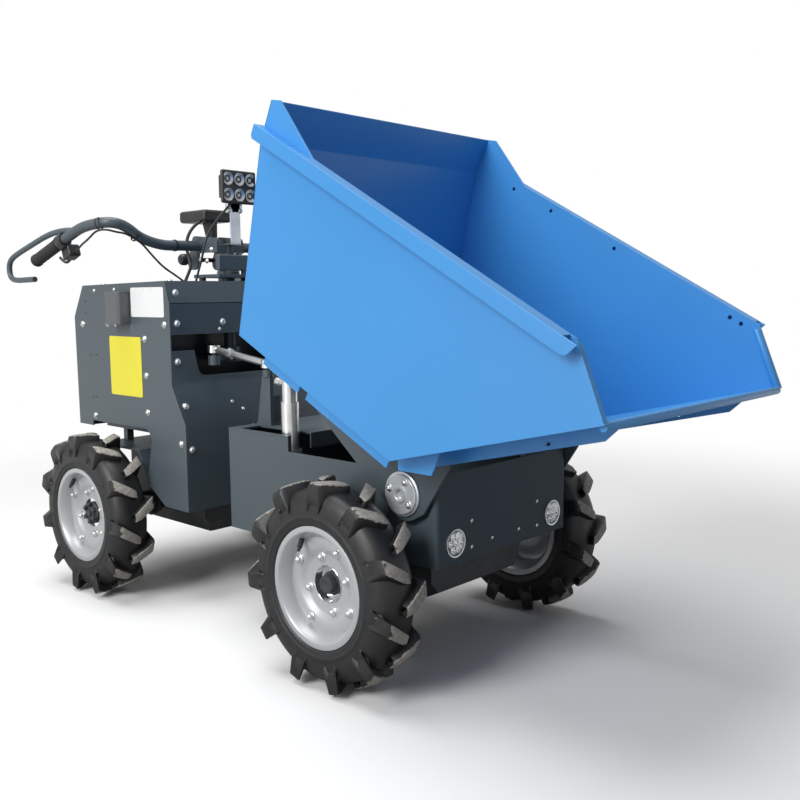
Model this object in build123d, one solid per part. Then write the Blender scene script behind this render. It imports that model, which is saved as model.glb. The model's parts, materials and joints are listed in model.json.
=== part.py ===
"""Walk-behind site dumper: two hinged modules, tipping bucket, handlebar steering."""
import os
from math import acos, sin, tan

from build123d import *

# All sizes in millimetres. X runs forward from the front axle and Y to the left. Heights are above a datum
# plane under the axles, which is the ground when the tyres have their standard radius.

# Wheels and axles
wheelbase = 912.0
axle_height = 210.0
tyre_radius = 210.0
tyre_width = 104.0
lug_height = 16.0
tread_radius = tyre_radius - lug_height
tyre_gap = 52.5
rear_tyre_gap = 14.5
front_half_width = 217.0
track = 2 * (front_half_width + tyre_gap + tyre_width / 2)
rim_radius = 112.0
rim_width = 92.0
rim_wall = 4.0
rim_flange = 10.0
lug_count = 14
lug_width = 24.0
stub_radius = 16.0
hub_radius = 34.0
axle_tube_radius = 32.0
axle_flange_radius = 52.0
axle_flange_face = track / 2 - 69.5
gearbox_half_width = 150.0

# Front module
plate = 5.0
sheet = 4.0
front_rear_x = -464.0
deck_front_x = -249.0
deck_top = 465.0
well_top = 430.0
chassis_bottom = axle_height + 15.0
nose_bottom = axle_height + 39.0
ramp_rear_x = -225.0
ramp_front_x = -180.0
bumper_x = 186.0
bumper_top = 431.5
bumper_return = 86.0
lamp_y = front_half_width - 50.0
lamp_z = nose_bottom + 43.0
lamp_radius = 28.5
bumper_hole_radius = 5.5
bumper_hole_y = 113.0
bumper_hole_low = nose_bottom + 24.0
bumper_hole_high = bumper_hole_low + 53.0
bumper_pair_y = 46.0
bumper_pair_z = nose_bottom + 29.0
front_belly_bottom = axle_height - 70.0

# Hinge between the modules
hinge_x = -525.0
hinge_pin_radius = 15.0
tongue_low = axle_height + 90.0
tongue_high = tongue_low + 90.0
clevis_plate = 16.0
clevis_half_width = 55.0

# Tipping bucket, drawn partly tipped
pivot_x = 110.0
pivot_z = 390.0
pivot_pin_radius = 25.0
arm_gap = 9.5
arm_inner_y = front_half_width + arm_gap
arm_thickness = 6.0
bucket_half_width = 342.0
bucket_wall = 4.0
bucket_rear_bottom = (-249.0, 692.0)
bucket_kink = (175.0, 477.0)
bucket_lip = (613.0, 576.0)
bucket_front_top = (564.0, 701.0)
bucket_rear_top = (-182.0, 1096.0)
bucket_spill_top = (-115.0, 1150.0)
gusset_end = 185.0
rim_reach = 24.0
rim_drop = 36.0
rail_y = 300.0
rail_depth = 34.0
rail_gap = 22.0
cross_x = 241.0
cross_bottom = 445.0

# Tipping cylinder, three tubes that slide out of each other
cylinder_x = -286.0
cylinder_inset = 39.0
cylinder_y = cylinder_inset - front_half_width
cylinder_foot_z = chassis_bottom - 60.0
cylinder_eye_z = 695.0
barrel_radius = 26.0
barrel_top = 427.0
sleeve_radius = 20.0
sleeve_top = 535.0
neck_radius = 17.0
neck_top = 585.0
sleeve_bottom = 305.0
ram_radius = 12.0
ram_bottom = 420.0
eye_radius = 18.0
eye_pin_radius = 8.0
eye_width = 34.0
ear_thickness = 5.0
foot_eye_width = 56.0
slide_gap = 0.1
slot_half_width = 29.0
slot_rear_x = -430.0

# Rear module
rear_half_width = track / 2 - tyre_width / 2 - rear_tyre_gap
rear_face_x = -585.0
rear_upper_x = -637.0
rear_corner_x = -655.0
rear_top_z = 811.0
rear_top_rear = (-1052.0, 804.0)
rear_shoulder = (-1103.0, 720.0)
rear_tail = (-1100.0, 423.0)
arch_step_x = -1027.0
arch_front_x = -700.0
floor_z = axle_height + 167.0
face_bottom_z = axle_height + 36.0
window_top = 679.0
window_bottom = 575.0
window_edge = 640.0
window_edge_y = 190.0
rear_belly_bottom = axle_height - 60.0
battery_rear_x = -1030.0

# Steering
column_setback = 101.0
column_x = rear_upper_x - column_setback
column_radius = 17.0
rod_inset = 44.0
arm_ball = (110.0, cylinder_y + rod_inset)
arm_ball_z = 640.0
front_ball_z = 612.0
ball_radius = 13.0
rod_radius = 8.5
bar_radius = 16.0
bar_x = column_x - 68.0
bar_z = 909.0
knob_place = (column_x - 118.0, 872.0)
guard_radius = 10.5
grip_radius = 19.0

# Working clearances
running_gap = 0.05
seat_gap = 0.1


def rounded_face(plane, corners):
    """Flat face on a plane; a corner is (u, v) or (u, v, radius)."""
    spans = []
    for index, corner in enumerate(corners):
        here = Vector(corner[0], corner[1])
        before = Vector(*corners[index - 1][:2])
        after = Vector(*corners[(index + 1) % len(corners)][:2])
        radius = corner[2] if len(corner) > 2 else 0
        if radius == 0:
            spans.append((here, None, here))
            continue
        to_before = (before - here).normalized()
        to_after = (after - here).normalized()
        half_angle = acos(to_before.dot(to_after)) / 2
        reach = min(radius / tan(half_angle), 0.48 * (before - here).length, 0.48 * (after - here).length)
        radius = reach * tan(half_angle)
        middle = here + (to_before + to_after).normalized() * (radius / sin(half_angle) - radius)
        spans.append((here + to_before * reach, middle, here + to_after * reach))
    edges = []
    for index, (start, middle, end) in enumerate(spans):
        if middle is not None:
            edges.append(ThreePointArc(start, middle, end))
        following = spans[(index + 1) % len(spans)][0]
        if (following - end).length > 1e-6:
            edges.append(Line(end, following))
    return plane * make_face(edges)


def side_plate(corners, y_low, y_high):
    """Outline in X and Z, given a thickness along Y."""
    face = rounded_face(Plane.XZ.offset(-y_low), corners)
    return extrude(face, amount=y_high - y_low, dir=(0, 1, 0))


def floor_plate(corners, z_low, z_high):
    """Outline in X and Y, given a thickness along Z."""
    return extrude(rounded_face(Plane.XY.offset(z_low), corners), amount=z_high - z_low)


def face_plate(corners, x_low, x_high):
    """Outline in Y and Z, given a thickness along X."""
    return extrude(rounded_face(Plane.YZ.offset(x_low), corners), amount=x_high - x_low)


def folded_profile(points, thickness):
    """Outline of a folded sheet: the line, then the line moved to its left by the thickness."""
    moved = []
    for index, point in enumerate(points):
        normals = []
        for start, end in ((index - 1, index), (index, index + 1)):
            if start >= 0 and end < len(points):
                run = Vector(*points[end]) - Vector(*points[start])
                normals.append(Vector(-run.Y, run.X).normalized())
        mitre = (normals[0] + normals[-1]).normalized()
        moved.append(Vector(*point) + mitre * (thickness / mitre.dot(normals[0])))
    return list(points) + [(point.X, point.Y) for point in reversed(moved)]


def folded_sheet(points, thickness, y_low, y_high):
    """Folded sheet seen from the side, running across the machine."""
    return side_plate(folded_profile(points, thickness), y_low, y_high)


def block(x_low, x_high, y_low, y_high, z_low, z_high):
    return Pos((x_low + x_high) / 2, (y_low + y_high) / 2, (z_low + z_high) / 2) * Box(
        x_high - x_low, y_high - y_low, z_high - z_low
    )


def rod(start, end, radius):
    """Round bar from one point to another."""
    run = Vector(*end) - Vector(*start)
    return extrude(Plane(origin=start, z_dir=run) * Circle(radius), amount=run.length)


def across(x, z, y_low, y_high, radius):
    """Round bar along Y."""
    return rod((x, y_low, z), (x, y_high, z), radius)


def upright(x, y, z_low, z_high, radius):
    """Round bar along Z."""
    return rod((x, y, z_low), (x, y, z_high), radius)


def bent_tube(points, bends, radius):
    """Round tube through the points, with arcs at the corners."""
    path = FilletPolyline(*points, radius=bends)
    start = Plane(origin=path @ 0, z_dir=path % 0)
    return sweep(start * Circle(radius), path=path)


def mirrored(solid):
    return mirror(solid, about=Plane.XZ)


def both_sides(solid):
    return [solid, mirrored(solid)]


def on_line(start, end, share):
    return tuple(a + (b - a) * share for a, b in zip(start, end))


def beside_line(start, end, along, off):
    """Point a distance along a line and a distance to its left."""
    run = (Vector(*end) - Vector(*start)).normalized()
    point = Vector(*start) + run * along + Vector(-run.Y, run.X) * off
    return (point.X, point.Y)


# Wheels

def lug(side):
    """One slanted tread bar from the middle of the tread down over the shoulder."""
    half = tyre_width / 2
    outline = [
        (-6, -lug_width / 2), (half * 0.55, 6), (half, 20),
        (half, 20 + lug_width * 1.25), (half * 0.5, 6 + lug_width), (-6, lug_width / 2),
    ]
    face = Plane.XY.offset(tread_radius - 14) * make_face(Polyline(*outline, close=True))
    bar = extrude(face, amount=lug_height + 16)
    bar = Rot(0, 0, 90) * bar
    return bar if side > 0 else mirrored(bar)


def tyre(centre_x, centre_y):
    """Farm-tread tyre: folded carcass with slanted bars that alternate left and right."""
    half = tyre_width / 2
    seat = rim_width / 2
    outer_side = [
        (tread_radius, half - 22), (tread_radius - 12, half - 5), (tread_radius - 36, half),
        (rim_radius + 18, half - 2),
        (rim_radius + rim_flange + 1, seat + 1), (rim_radius + rim_flange + seat_gap, seat - 4.4),
        (rim_radius + seat_gap, seat - 6.4),
    ]
    section = outer_side + [(radius, -across_tyre) for radius, across_tyre in reversed(outer_side)]
    carcass = revolve(make_face(Polyline(*section, close=True)), Axis.Y)
    envelope = revolve(
        make_face(Polyline((rim_radius + 8, -half), (tyre_radius - 20, -half), (tyre_radius - 5, -half + 8),
                           (tyre_radius, -half + 20), (tyre_radius, half - 20), (tyre_radius - 5, half - 8),
                           (tyre_radius - 20, half), (rim_radius + 8, half), close=True)),
        Axis.Y,
    )
    bars = []
    for side in (1, -1):
        bar = lug(side) & envelope
        for index in range(lug_count):
            turn = (index + (0.25 if side > 0 else 0.75)) * 360 / lug_count
            bars.append(Rot(0, turn, 0) * bar)
    return Pos(centre_x, centre_y, axle_height) * (carcass + bars)


def wheel_rim(centre_x, centre_y):
    """Pressed rim with a dished disc, and the hub that turns on the stub."""
    out = 1 if centre_y > 0 else -1
    half = rim_width / 2
    barrel_line = [
        (rim_radius, -half + 6), (rim_radius + rim_flange, -half + 4), (rim_radius + rim_flange, -half),
        (rim_radius - rim_wall, -half), (rim_radius - rim_wall - 12, -half + 26),
        (rim_radius - rim_wall - 12, half - 26), (rim_radius - rim_wall, half),
        (rim_radius + rim_flange, half), (rim_radius + rim_flange, half - 4), (rim_radius, half - 6),
        (rim_radius - 12, half - 24), (rim_radius - 12, -half + 24),
    ]
    disc_line = [
        (hub_radius - 4, 6), (64, 6), (76, 16), (rim_radius - 14, 16),
        (rim_radius - 14, 21), (74, 21), (62, 11), (hub_radius - 4, 11),
    ]
    hub_inner = axle_flange_face - abs(centre_y) + 6
    hub_line = [
        (stub_radius + running_gap, hub_inner), (hub_radius, hub_inner), (hub_radius, 4), (58, 4), (58, 6.5),
        (hub_radius - 6, 12), (hub_radius - 6, 26), (0, 26), (0, 18), (stub_radius + running_gap, 18),
    ]
    parts = [revolve(make_face(Polyline(*line, close=True)), Axis.Y) for line in (barrel_line, disc_line, hub_line)]
    rim = parts[0] + parts[1] + parts[2]
    if out < 0:
        rim = mirrored(rim)
    return Pos(centre_x, centre_y, axle_height) * rim


def axle_beam(centre_x):
    """Axle tube with end flanges and the stub shafts that carry the hubs."""
    stub_end = track / 2 + 17
    beam = across(centre_x, axle_height, -axle_flange_face, axle_flange_face, axle_tube_radius)
    stub = across(centre_x, axle_height, -stub_end, stub_end, stub_radius)
    flange = across(centre_x, axle_height, axle_flange_face - 12, axle_flange_face, axle_flange_radius)
    inner = across(centre_x, axle_height, gearbox_half_width, gearbox_half_width + 10, axle_tube_radius + 6)
    return beam + stub + [*both_sides(flange), *both_sides(inner)]


# Front module

def front_chassis():
    """Side plates, rear plate and bottom plate of the front module, welded into one open box."""
    inner = front_half_width - plate
    outline = [
        (front_rear_x, chassis_bottom), (ramp_rear_x, chassis_bottom), (ramp_front_x, nose_bottom),
        (bumper_x - sheet, nose_bottom), (bumper_x - sheet, well_top), (deck_front_x, well_top),
        (deck_front_x, deck_top - sheet), (front_rear_x, deck_top - sheet),
    ]
    sides = side_plate(outline, inner, front_half_width)
    rear = block(front_rear_x, front_rear_x + plate, -inner, inner, chassis_bottom, deck_top - sheet)
    foot_slot = floor_plate(
        [(cylinder_x - 52, cylinder_y - 29.5), (cylinder_x + 48, cylinder_y - 29.5),
         (cylinder_x + 48, cylinder_y + 29.5), (cylinder_x - 52, cylinder_y + 29.5)],
        chassis_bottom - 1, chassis_bottom + plate + 1,
    )
    bottom = block(front_rear_x, ramp_rear_x, -inner, inner, chassis_bottom, chassis_bottom + plate) - foot_slot
    nose = block(ramp_front_x - 5, bumper_x - sheet, -inner, inner, nose_bottom, nose_bottom + plate)
    ramp = folded_sheet([(ramp_rear_x, chassis_bottom), (ramp_front_x, nose_bottom)], plate, -inner, inner)
    return sides + mirrored(sides) + [rear, bottom, nose, ramp]


def front_deck():
    """Deck plate with its turned-down front edge, the cylinder slot and the steering bracket."""
    top = block(front_rear_x, deck_front_x, -front_half_width, front_half_width, deck_top - sheet, deck_top)
    lip = block(deck_front_x - sheet, deck_front_x, -front_half_width + plate, front_half_width - plate,
                well_top, deck_top)
    slot = block(slot_rear_x, deck_front_x + 1, cylinder_y - slot_half_width, cylinder_y + slot_half_width,
                 well_top - 1, deck_top + 1)
    return top + lip - slot + steering_bracket()


def steering_bracket():
    """Post on the deck that holds the forward ball of the tie rod."""
    ball_x = hinge_x + arm_ball[0]
    ball_y = arm_ball[1]
    head_z = front_ball_z - ball_radius - 3
    post = side_plate(
        [(ball_x - 38, deck_top), (ball_x + 12, deck_top), (ball_x + 12, head_z, 10), (ball_x - 14, head_z, 10)],
        ball_y - 5, ball_y + 5,
    )
    foot = block(ball_x - 40, ball_x + 13, ball_y - 5, ball_y + 34, deck_top, deck_top + 6)
    web = block(ball_x - 4, ball_x + 2, ball_y + 4, ball_y + 34, deck_top, deck_top + 70)
    pin = upright(ball_x, ball_y, head_z - 12, front_ball_z, 7)
    collar = upright(ball_x, ball_y, head_z - 14, head_z + 2, 13)
    return post + [foot, web, pin, collar]


def front_bumper():
    """Folded bumper with side returns cut back round the tipping pivots."""
    outer = front_half_width + sheet
    shell = block(bumper_x - bumper_return, bumper_x, -outer, outer, nose_bottom, bumper_top)
    shell -= block(bumper_x - bumper_return - 1, bumper_x - sheet, -front_half_width, front_half_width,
                   nose_bottom - 1, bumper_top + 1)
    shell = fillet(shell.edges().filter_by(Axis.Z).group_by(Axis.X)[-1], 9)
    shell -= across(pivot_x, pivot_z, -outer - 1, outer + 1, 66)
    corner = face_plate([(outer + 1, bumper_top - 34), (outer + 1, bumper_top + 1), (outer - 26, bumper_top + 1)],
                        bumper_x - bumper_return - 1, bumper_x + 1)
    shell -= [*both_sides(corner)]
    for y, z in bumper_holes():
        shell -= rod((bumper_x - 10, y, z), (bumper_x + 1, y, z), bumper_hole_radius)
    lamp_hole = rod((bumper_x - 10, lamp_y, lamp_z), (bumper_x + 1, lamp_y, lamp_z), lamp_radius - 3)
    return shell - [*both_sides(lamp_hole)]


def bumper_holes():
    """Four holes in a rectangle and two below the middle."""
    four = [(side * bumper_hole_y, z) for side in (-1, 1) for z in (bumper_hole_low, bumper_hole_high)]
    return four + [(side * bumper_pair_y, bumper_pair_z) for side in (-1, 1)]


def bumper_lamps():
    """Two round lamps: body through the sheet and a domed front."""
    line = [(0, -26), (lamp_radius - 6, -26), (lamp_radius - 3.2, -14), (lamp_radius - 3.2, 0),
            (lamp_radius, 0), (lamp_radius, 4), (lamp_radius - 6, 8), (0, 10)]
    lamp = revolve(Plane.XY * make_face(Polyline(*line, close=True)), Axis.Y)
    lamp = Pos(bumper_x, lamp_y, lamp_z) * (Rot(0, 0, -90) * lamp)
    return both_sides(lamp)


def front_gearbox():
    """Drive casing under the front module, with its chamfered belly."""
    outline = [(-110, nose_bottom), (-110, axle_height - 40), (-60, front_belly_bottom),
               (60, front_belly_bottom), (110, axle_height - 45), (110, nose_bottom)]
    half = gearbox_half_width
    casing = side_plate(outline, -half, half)
    belly = front_belly_bottom
    edge = face_plate([(half + 1, belly - 2), (half + 1, belly + 50), (half - 45, belly - 2)], -120, 120)
    casing -= [*both_sides(edge)]
    return casing - across(0, axle_height, -half - 1, half + 1, axle_tube_radius + seat_gap)


def pivot_tongue():
    """Tongue behind the front module that turns between the plates of the clevis."""
    bore = upright(hinge_x, 0, tongue_low - 1, tongue_high + 1, hinge_pin_radius + running_gap)
    eye = upright(hinge_x, 0, tongue_low, tongue_high, 32)
    arm = block(hinge_x, front_rear_x, -32, 32, tongue_low, tongue_high)
    foot = block(front_rear_x - 10, front_rear_x, -75, 75, tongue_low - 40, tongue_high + 40)
    return eye + [arm, foot] - bore


def tip_pivots():
    """Pins through the lifting arms, each with a round flange and a centre shaft."""
    inner = front_half_width
    flange_y = arm_inner_y + arm_thickness + 1
    pin = across(pivot_x, pivot_z, inner, flange_y + 1, pivot_pin_radius)
    boss = across(pivot_x, pivot_z, inner, arm_inner_y - 1, 40)
    flange = across(pivot_x, pivot_z, flange_y, flange_y + 7, 42)
    shaft = across(pivot_x, pivot_z, flange_y, flange_y + 14, 15)
    return both_sides(pin + [boss, flange, shaft])


def cylinder_cradle():
    """Two ears under the chassis that hold the foot of the tipping cylinder."""
    pieces = []
    for side in (-1, 1):
        y_inner = cylinder_y + side * (foot_eye_width / 2 + 2)
        y_outer = y_inner + side * 8
        ear = side_plate(
            [(cylinder_x - 70, chassis_bottom), (cylinder_x - 22, cylinder_foot_z - 22, 16),
             (cylinder_x + 22, cylinder_foot_z - 22, 16), (cylinder_x + 50, chassis_bottom)],
            min(y_inner, y_outer), max(y_inner, y_outer),
        )
        pieces.append(ear)
    pin = across(cylinder_x, cylinder_foot_z, cylinder_y - foot_eye_width / 2 - 14,
                 cylinder_y + foot_eye_width / 2 + 14, eye_pin_radius)
    return pieces[0] + pieces[1] + pin


# Bucket

def bucket_side_outline():
    return [bucket_rear_bottom, bucket_kink, bucket_lip, (*bucket_front_top, 12), bucket_rear_top]


def bucket_shell():
    """Folded floor and rear wall with welded side panels; the load space is open."""
    half = bucket_half_width
    line = [bucket_lip, bucket_kink, bucket_rear_bottom, bucket_rear_top, bucket_spill_top]
    floor = folded_sheet(list(reversed(line)), bucket_wall, -half, half)
    panel = side_plate(bucket_side_outline(), half - bucket_wall, half)
    for x, z in side_holes():
        panel -= across(x, z, half - bucket_wall - 1, half + 1, 4.5)
    gusset_foot = beside_line(bucket_rear_top, bucket_front_top, gusset_end, 0)
    gusset = side_plate([bucket_rear_top, gusset_foot, bucket_spill_top], half - bucket_wall, half)
    edge = front_edge()
    return floor + [*both_sides(panel), *both_sides(gusset), *both_sides(edge)]


def front_edge():
    """Rolled edge down the front of a side panel."""
    run = Vector(bucket_lip[0], 0, bucket_lip[1]) - Vector(bucket_front_top[0], 0, bucket_front_top[1])
    start = Vector(bucket_front_top[0], bucket_half_width + 3, bucket_front_top[1]) + run.normalized() * 8
    return rod(start, start + run.normalized() * (run.length - 12), 8)


def side_holes():
    """Centres of the holes near the top edge of the side panels."""
    rim_start, rim_end = bucket_rear_top, bucket_front_top
    return [beside_line(rim_start, rim_end, along, -38) for along in (150, 270, 462, 770, 796)]


def bucket_rims():
    """Turned-out rim along each side: a top strip and a drop edge."""
    length = (Vector(*bucket_front_top) - Vector(*bucket_rear_top)).length
    half = bucket_half_width
    drop = [
        beside_line(bucket_rear_top, bucket_front_top, 18, 0),
        beside_line(bucket_rear_top, bucket_front_top, length + 4, 0),
        beside_line(bucket_rear_top, bucket_front_top, length - 14, -rim_drop),
        beside_line(bucket_rear_top, bucket_front_top, 24, -rim_drop),
    ]
    strip = [
        beside_line(bucket_rear_top, bucket_front_top, 18, 0),
        beside_line(bucket_rear_top, bucket_front_top, length - 12, 0),
        beside_line(bucket_rear_top, bucket_front_top, length - 12, -bucket_wall),
        beside_line(bucket_rear_top, bucket_front_top, 18, -bucket_wall),
    ]
    rim = side_plate(drop, half + rim_reach - bucket_wall, half + rim_reach)
    rim += side_plate(strip, half, half + rim_reach)
    return both_sides(rim)


def under_floor(x, depth):
    """Point below the bucket floor's underside, at a place along the machine."""
    start, end = (bucket_rear_bottom, bucket_kink) if x < bucket_kink[0] else (bucket_kink, bucket_lip)
    share = (x - start[0]) / (end[0] - start[0])
    return (x, on_line(start, end, share)[1] - depth)


def bucket_underframe():
    """Rails and cross plate under the floor, and the ears for the cylinder's eye."""
    rear_end, gap_x, front_end = -205, -106, 140
    rails = []
    for start, end in ((rear_end, gap_x - rail_gap / 2), (gap_x + rail_gap / 2, front_end)):
        outline = [under_floor(start, 0), under_floor(start + 12, rail_depth),
                   under_floor(end - 6, rail_depth), under_floor(end, 0)]
        rails += both_sides(side_plate(outline, rail_y - bucket_wall, rail_y))
    cross_top = under_floor(cross_x - bucket_wall, 0)[1]
    cross = face_plate([(-rail_y, cross_top), (-rail_y, cross_bottom + 12), (-rail_y + 14, cross_bottom),
                        (rail_y - 14, cross_bottom), (rail_y, cross_bottom + 12), (rail_y, cross_top)],
                       cross_x - bucket_wall, cross_x)
    knee = side_plate([under_floor(bucket_kink[0] + 2, 0), (cross_x - bucket_wall, cross_bottom + 12),
                       (cross_x - bucket_wall, cross_top)], rail_y - bucket_wall, rail_y)
    lip_bar = side_plate([under_floor(560, 0), under_floor(560, 20), under_floor(590, 16), under_floor(590, 0)],
                         -180, 180)
    return rails + [cross, *both_sides(knee), lip_bar, *cylinder_ears()]


def cylinder_ears():
    """Two ears beside the ram's eye."""
    ears = []
    for side in (-1, 1):
        y_inner = cylinder_y + side * (eye_width / 2 + 2)
        y_outer = y_inner + side * ear_thickness
        wall_foot = beside_line(bucket_rear_bottom, bucket_rear_top, 70, 0)
        outline = [bucket_rear_bottom, wall_foot, (cylinder_x - 16, cylinder_eye_z + 26, 14),
                   (cylinder_x - 28, cylinder_eye_z - 16, 14), (cylinder_x + 8, cylinder_eye_z - 22, 14),
                   under_floor(-205, 0)]
        ears.append(side_plate(outline, min(y_inner, y_outer), max(y_inner, y_outer)))
    return ears


def tip_arms():
    """Plate arms that hang the bucket on its pivots."""
    lobe = [
        under_floor(-150, 0), (-135, 533), (pivot_x - 62, pivot_z - 10), (pivot_x, pivot_z - 62, 46),
        (pivot_x + 52, pivot_z - 34), (225, 452), under_floor(225, 0), bucket_kink,
    ]
    arm = side_plate(lobe, arm_inner_y, arm_inner_y + arm_thickness)
    arm -= across(pivot_x, pivot_z, arm_inner_y - 1, arm_inner_y + arm_thickness + 1,
                  pivot_pin_radius + running_gap)
    return both_sides(arm)


# Tipping cylinder

def cylinder_barrel():
    """Outer tube with the foot eye, closed at the bottom and bored for the sleeve."""
    body = upright(cylinder_x, cylinder_y, cylinder_foot_z + 20, barrel_top, barrel_radius)
    body -= upright(cylinder_x, cylinder_y, cylinder_foot_z + 28, barrel_top + 1, sleeve_radius + slide_gap)
    eye = across(cylinder_x, cylinder_foot_z, cylinder_y - foot_eye_width / 2,
                 cylinder_y + foot_eye_width / 2, eye_radius)
    neck = upright(cylinder_x, cylinder_y, cylinder_foot_z, cylinder_foot_z + 21, 12)
    hole = across(cylinder_x, cylinder_foot_z, cylinder_y - foot_eye_width, cylinder_y + foot_eye_width,
                  eye_pin_radius + running_gap)
    return body + [eye, neck] - hole


def cylinder_sleeve():
    """Middle tube with a slimmer neck, bored for the ram, and the elbow of the oil line."""
    body = upright(cylinder_x, cylinder_y, sleeve_bottom, sleeve_top, sleeve_radius)
    body += upright(cylinder_x, cylinder_y, sleeve_top - 1, neck_top, neck_radius)
    elbow = rod((cylinder_x - 15, cylinder_y, neck_top - 9), (cylinder_x - 34, cylinder_y, neck_top - 7), 7)
    nut = rod((cylinder_x - 28, cylinder_y, neck_top - 8), (cylinder_x - 42, cylinder_y, neck_top - 6), 9)
    body += [elbow, nut]
    return body - upright(cylinder_x, cylinder_y, sleeve_bottom + 8, neck_top + 1, ram_radius + slide_gap)


def cylinder_ram():
    """Ram with its top eye and the pin that the eye carries."""
    body = upright(cylinder_x, cylinder_y, ram_bottom, cylinder_eye_z - 10, ram_radius)
    eye = across(cylinder_x, cylinder_eye_z, cylinder_y - eye_width / 2, cylinder_y + eye_width / 2, eye_radius)
    pin = across(cylinder_x, cylinder_eye_z, cylinder_y - eye_width / 2 - 1.5,
                 cylinder_y + eye_width / 2 + 1.5, eye_pin_radius)
    return body + [eye, pin]


# Rear module

def rear_side():
    """Right side panel of the rear module."""
    outline = [
        rear_top_rear, rear_shoulder, rear_tail, (arch_step_x, rear_tail[1]), (arch_step_x, rear_tail[1] + 14),
        (arch_front_x - 30, rear_tail[1] + 14, 30), (arch_front_x - 65, face_bottom_z + 51), (arch_front_x + 15, face_bottom_z),
        (rear_face_x, face_bottom_z), (rear_face_x, 462), (rear_upper_x, 555),
        (rear_upper_x, 757), (rear_corner_x, rear_top_z),
    ]
    return side_plate(outline, -rear_half_width, -rear_half_width + sheet)


def rear_back_panel():
    inner = rear_half_width - sheet
    line = [rear_top_rear, rear_shoulder, rear_tail, (rear_tail[0] + 60, rear_tail[1])]
    return folded_sheet(line, sheet, -inner, inner)


def rear_top_cover():
    """Lid over the battery, turned down at the front."""
    inner = rear_half_width - sheet
    line = [(rear_upper_x, 757), (rear_corner_x, rear_top_z), (rear_top_rear[0] + 4, rear_top_rear[1])]
    return folded_sheet(line, sheet, -inner, inner) - upright(column_x, 0, 700, 900, column_radius + 3)


def rear_front_upper():
    """Beam across the front above the steering window."""
    inner = rear_half_width - sheet
    line = [(rear_upper_x - 40, window_top), (rear_upper_x, window_top), (rear_upper_x, 755)]
    return folded_sheet(line, sheet, -inner, inner)


def rear_front_lower():
    """Front panel below the steering window, folded forward to the lower face."""
    inner = rear_half_width - sheet
    line = [(rear_face_x, face_bottom_z), (rear_face_x, 462), (rear_upper_x, 555), (rear_upper_x, window_edge)]
    panel = folded_sheet(line, sheet, -inner, inner)
    edge = window_edge_y
    window = face_plate(
        [(-edge + 4, window_edge + 1), (-edge + 18, window_bottom, 22), (edge - 18, window_bottom, 22),
         (edge - 4, window_edge + 1)],
        rear_upper_x - 60, rear_upper_x + 10,
    )
    return panel - window


def floor_line():
    return [(rear_face_x - sheet, face_bottom_z + sheet), (arch_front_x + 15, face_bottom_z + sheet),
            (arch_front_x - 65, face_bottom_z + 55), (arch_front_x - 110, floor_z), (arch_step_x + 8, floor_z)]


def rear_floor():
    """Floor of the rear module, stepped up over the axle."""
    inner = rear_half_width - sheet
    return folded_sheet(floor_line(), sheet, -inner, inner)


def battery_pack():
    return block(battery_rear_x, column_x - 62, -190, 190, floor_z + 60, 770)


def battery_tray():
    """Tray that carries the battery on the floor."""
    rear, front = battery_rear_x - 4, column_x - 42
    tray = block(rear, front, -210, 210, floor_z + 40, floor_z + 60)
    legs = [block(x, x + 20, y, y + 20, floor_z, floor_z + 41) for x in (rear + 34, front - 70) for y in (-180, 160)]
    return tray + legs


def rear_gearbox():
    """Drive casing under the rear module."""
    x = -wheelbase
    rear_edge, floor_rear, floor_front, ramp_foot = folded_profile(floor_line(), sheet)[5:9]
    outline = [(x - 105, rear_edge[1]), (x - 105, axle_height - 30), (x - 65, rear_belly_bottom),
               (ramp_foot[0] - 20, rear_belly_bottom), (ramp_foot[0] + 15, axle_height - 25),
               (ramp_foot[0] + 15, ramp_foot[1]), ramp_foot, floor_front, floor_rear]
    half = gearbox_half_width
    casing = side_plate(outline, -half, half)
    belly = rear_belly_bottom
    edge = face_plate([(half + 1, belly - 2), (half + 1, belly + 50), (half - 45, belly - 2)],
                      x - 120, ramp_foot[0] + 30)
    casing -= [*both_sides(edge)]
    return casing - across(x, axle_height, -half - 1, half + 1, axle_tube_radius + seat_gap)


def pivot_clevis():
    """Two plates with the upright pin that the front module swings on."""
    gap = 0.5
    pieces = []
    for z_low in (tongue_low - gap - clevis_plate, tongue_high + gap):
        pieces.append(floor_plate(
            [(rear_face_x, -clevis_half_width - 25), (hinge_x, -clevis_half_width + 12),
             (hinge_x + 36, -clevis_half_width + 20, 30), (hinge_x + 36, clevis_half_width - 20, 30),
             (hinge_x, clevis_half_width - 12), (rear_face_x, clevis_half_width + 25)],
            z_low, z_low + clevis_plate,
        ))
    pin_low, pin_high = tongue_low - 28, tongue_high + 28
    pin = upright(hinge_x, 0, pin_low, pin_high, hinge_pin_radius)
    head = upright(hinge_x, 0, pin_high - 11, pin_high, 24)
    return pieces[0] + [pieces[1], pin, head]


def lid_height(x):
    """Height of the sloping lid at a place along the machine."""
    share = (x - rear_corner_x) / (rear_top_rear[0] + 4 - rear_corner_x)
    return rear_top_z + share * (rear_top_rear[1] - rear_top_z)


def column_head():
    """Box over the lid that steadies the steering column, on short posts."""
    box_low, box_high = 834, 883
    box = block(column_x - 40, column_x + 75, -85, 85, box_low, box_high)
    box = fillet(box.edges().filter_by(Axis.X), 8)
    posts = [upright(x, y, lid_height(x + 9) + 0.3, box_low + 1, 9)
             for x in (column_x - 25, column_x + 60) for y in (-65, 65)]
    head = box + posts
    return head - upright(column_x, 0, 700, 900, column_radius + running_gap)


def service_box():
    """Small box with a pull handle on the right side panel."""
    box = block(-882, -815, -rear_half_width - 36, -rear_half_width, 703, 786)
    box = chamfer(box.edges().filter_by(Axis.Z).group_by(Axis.Y)[0], 8)
    return box


# Steering

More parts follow.
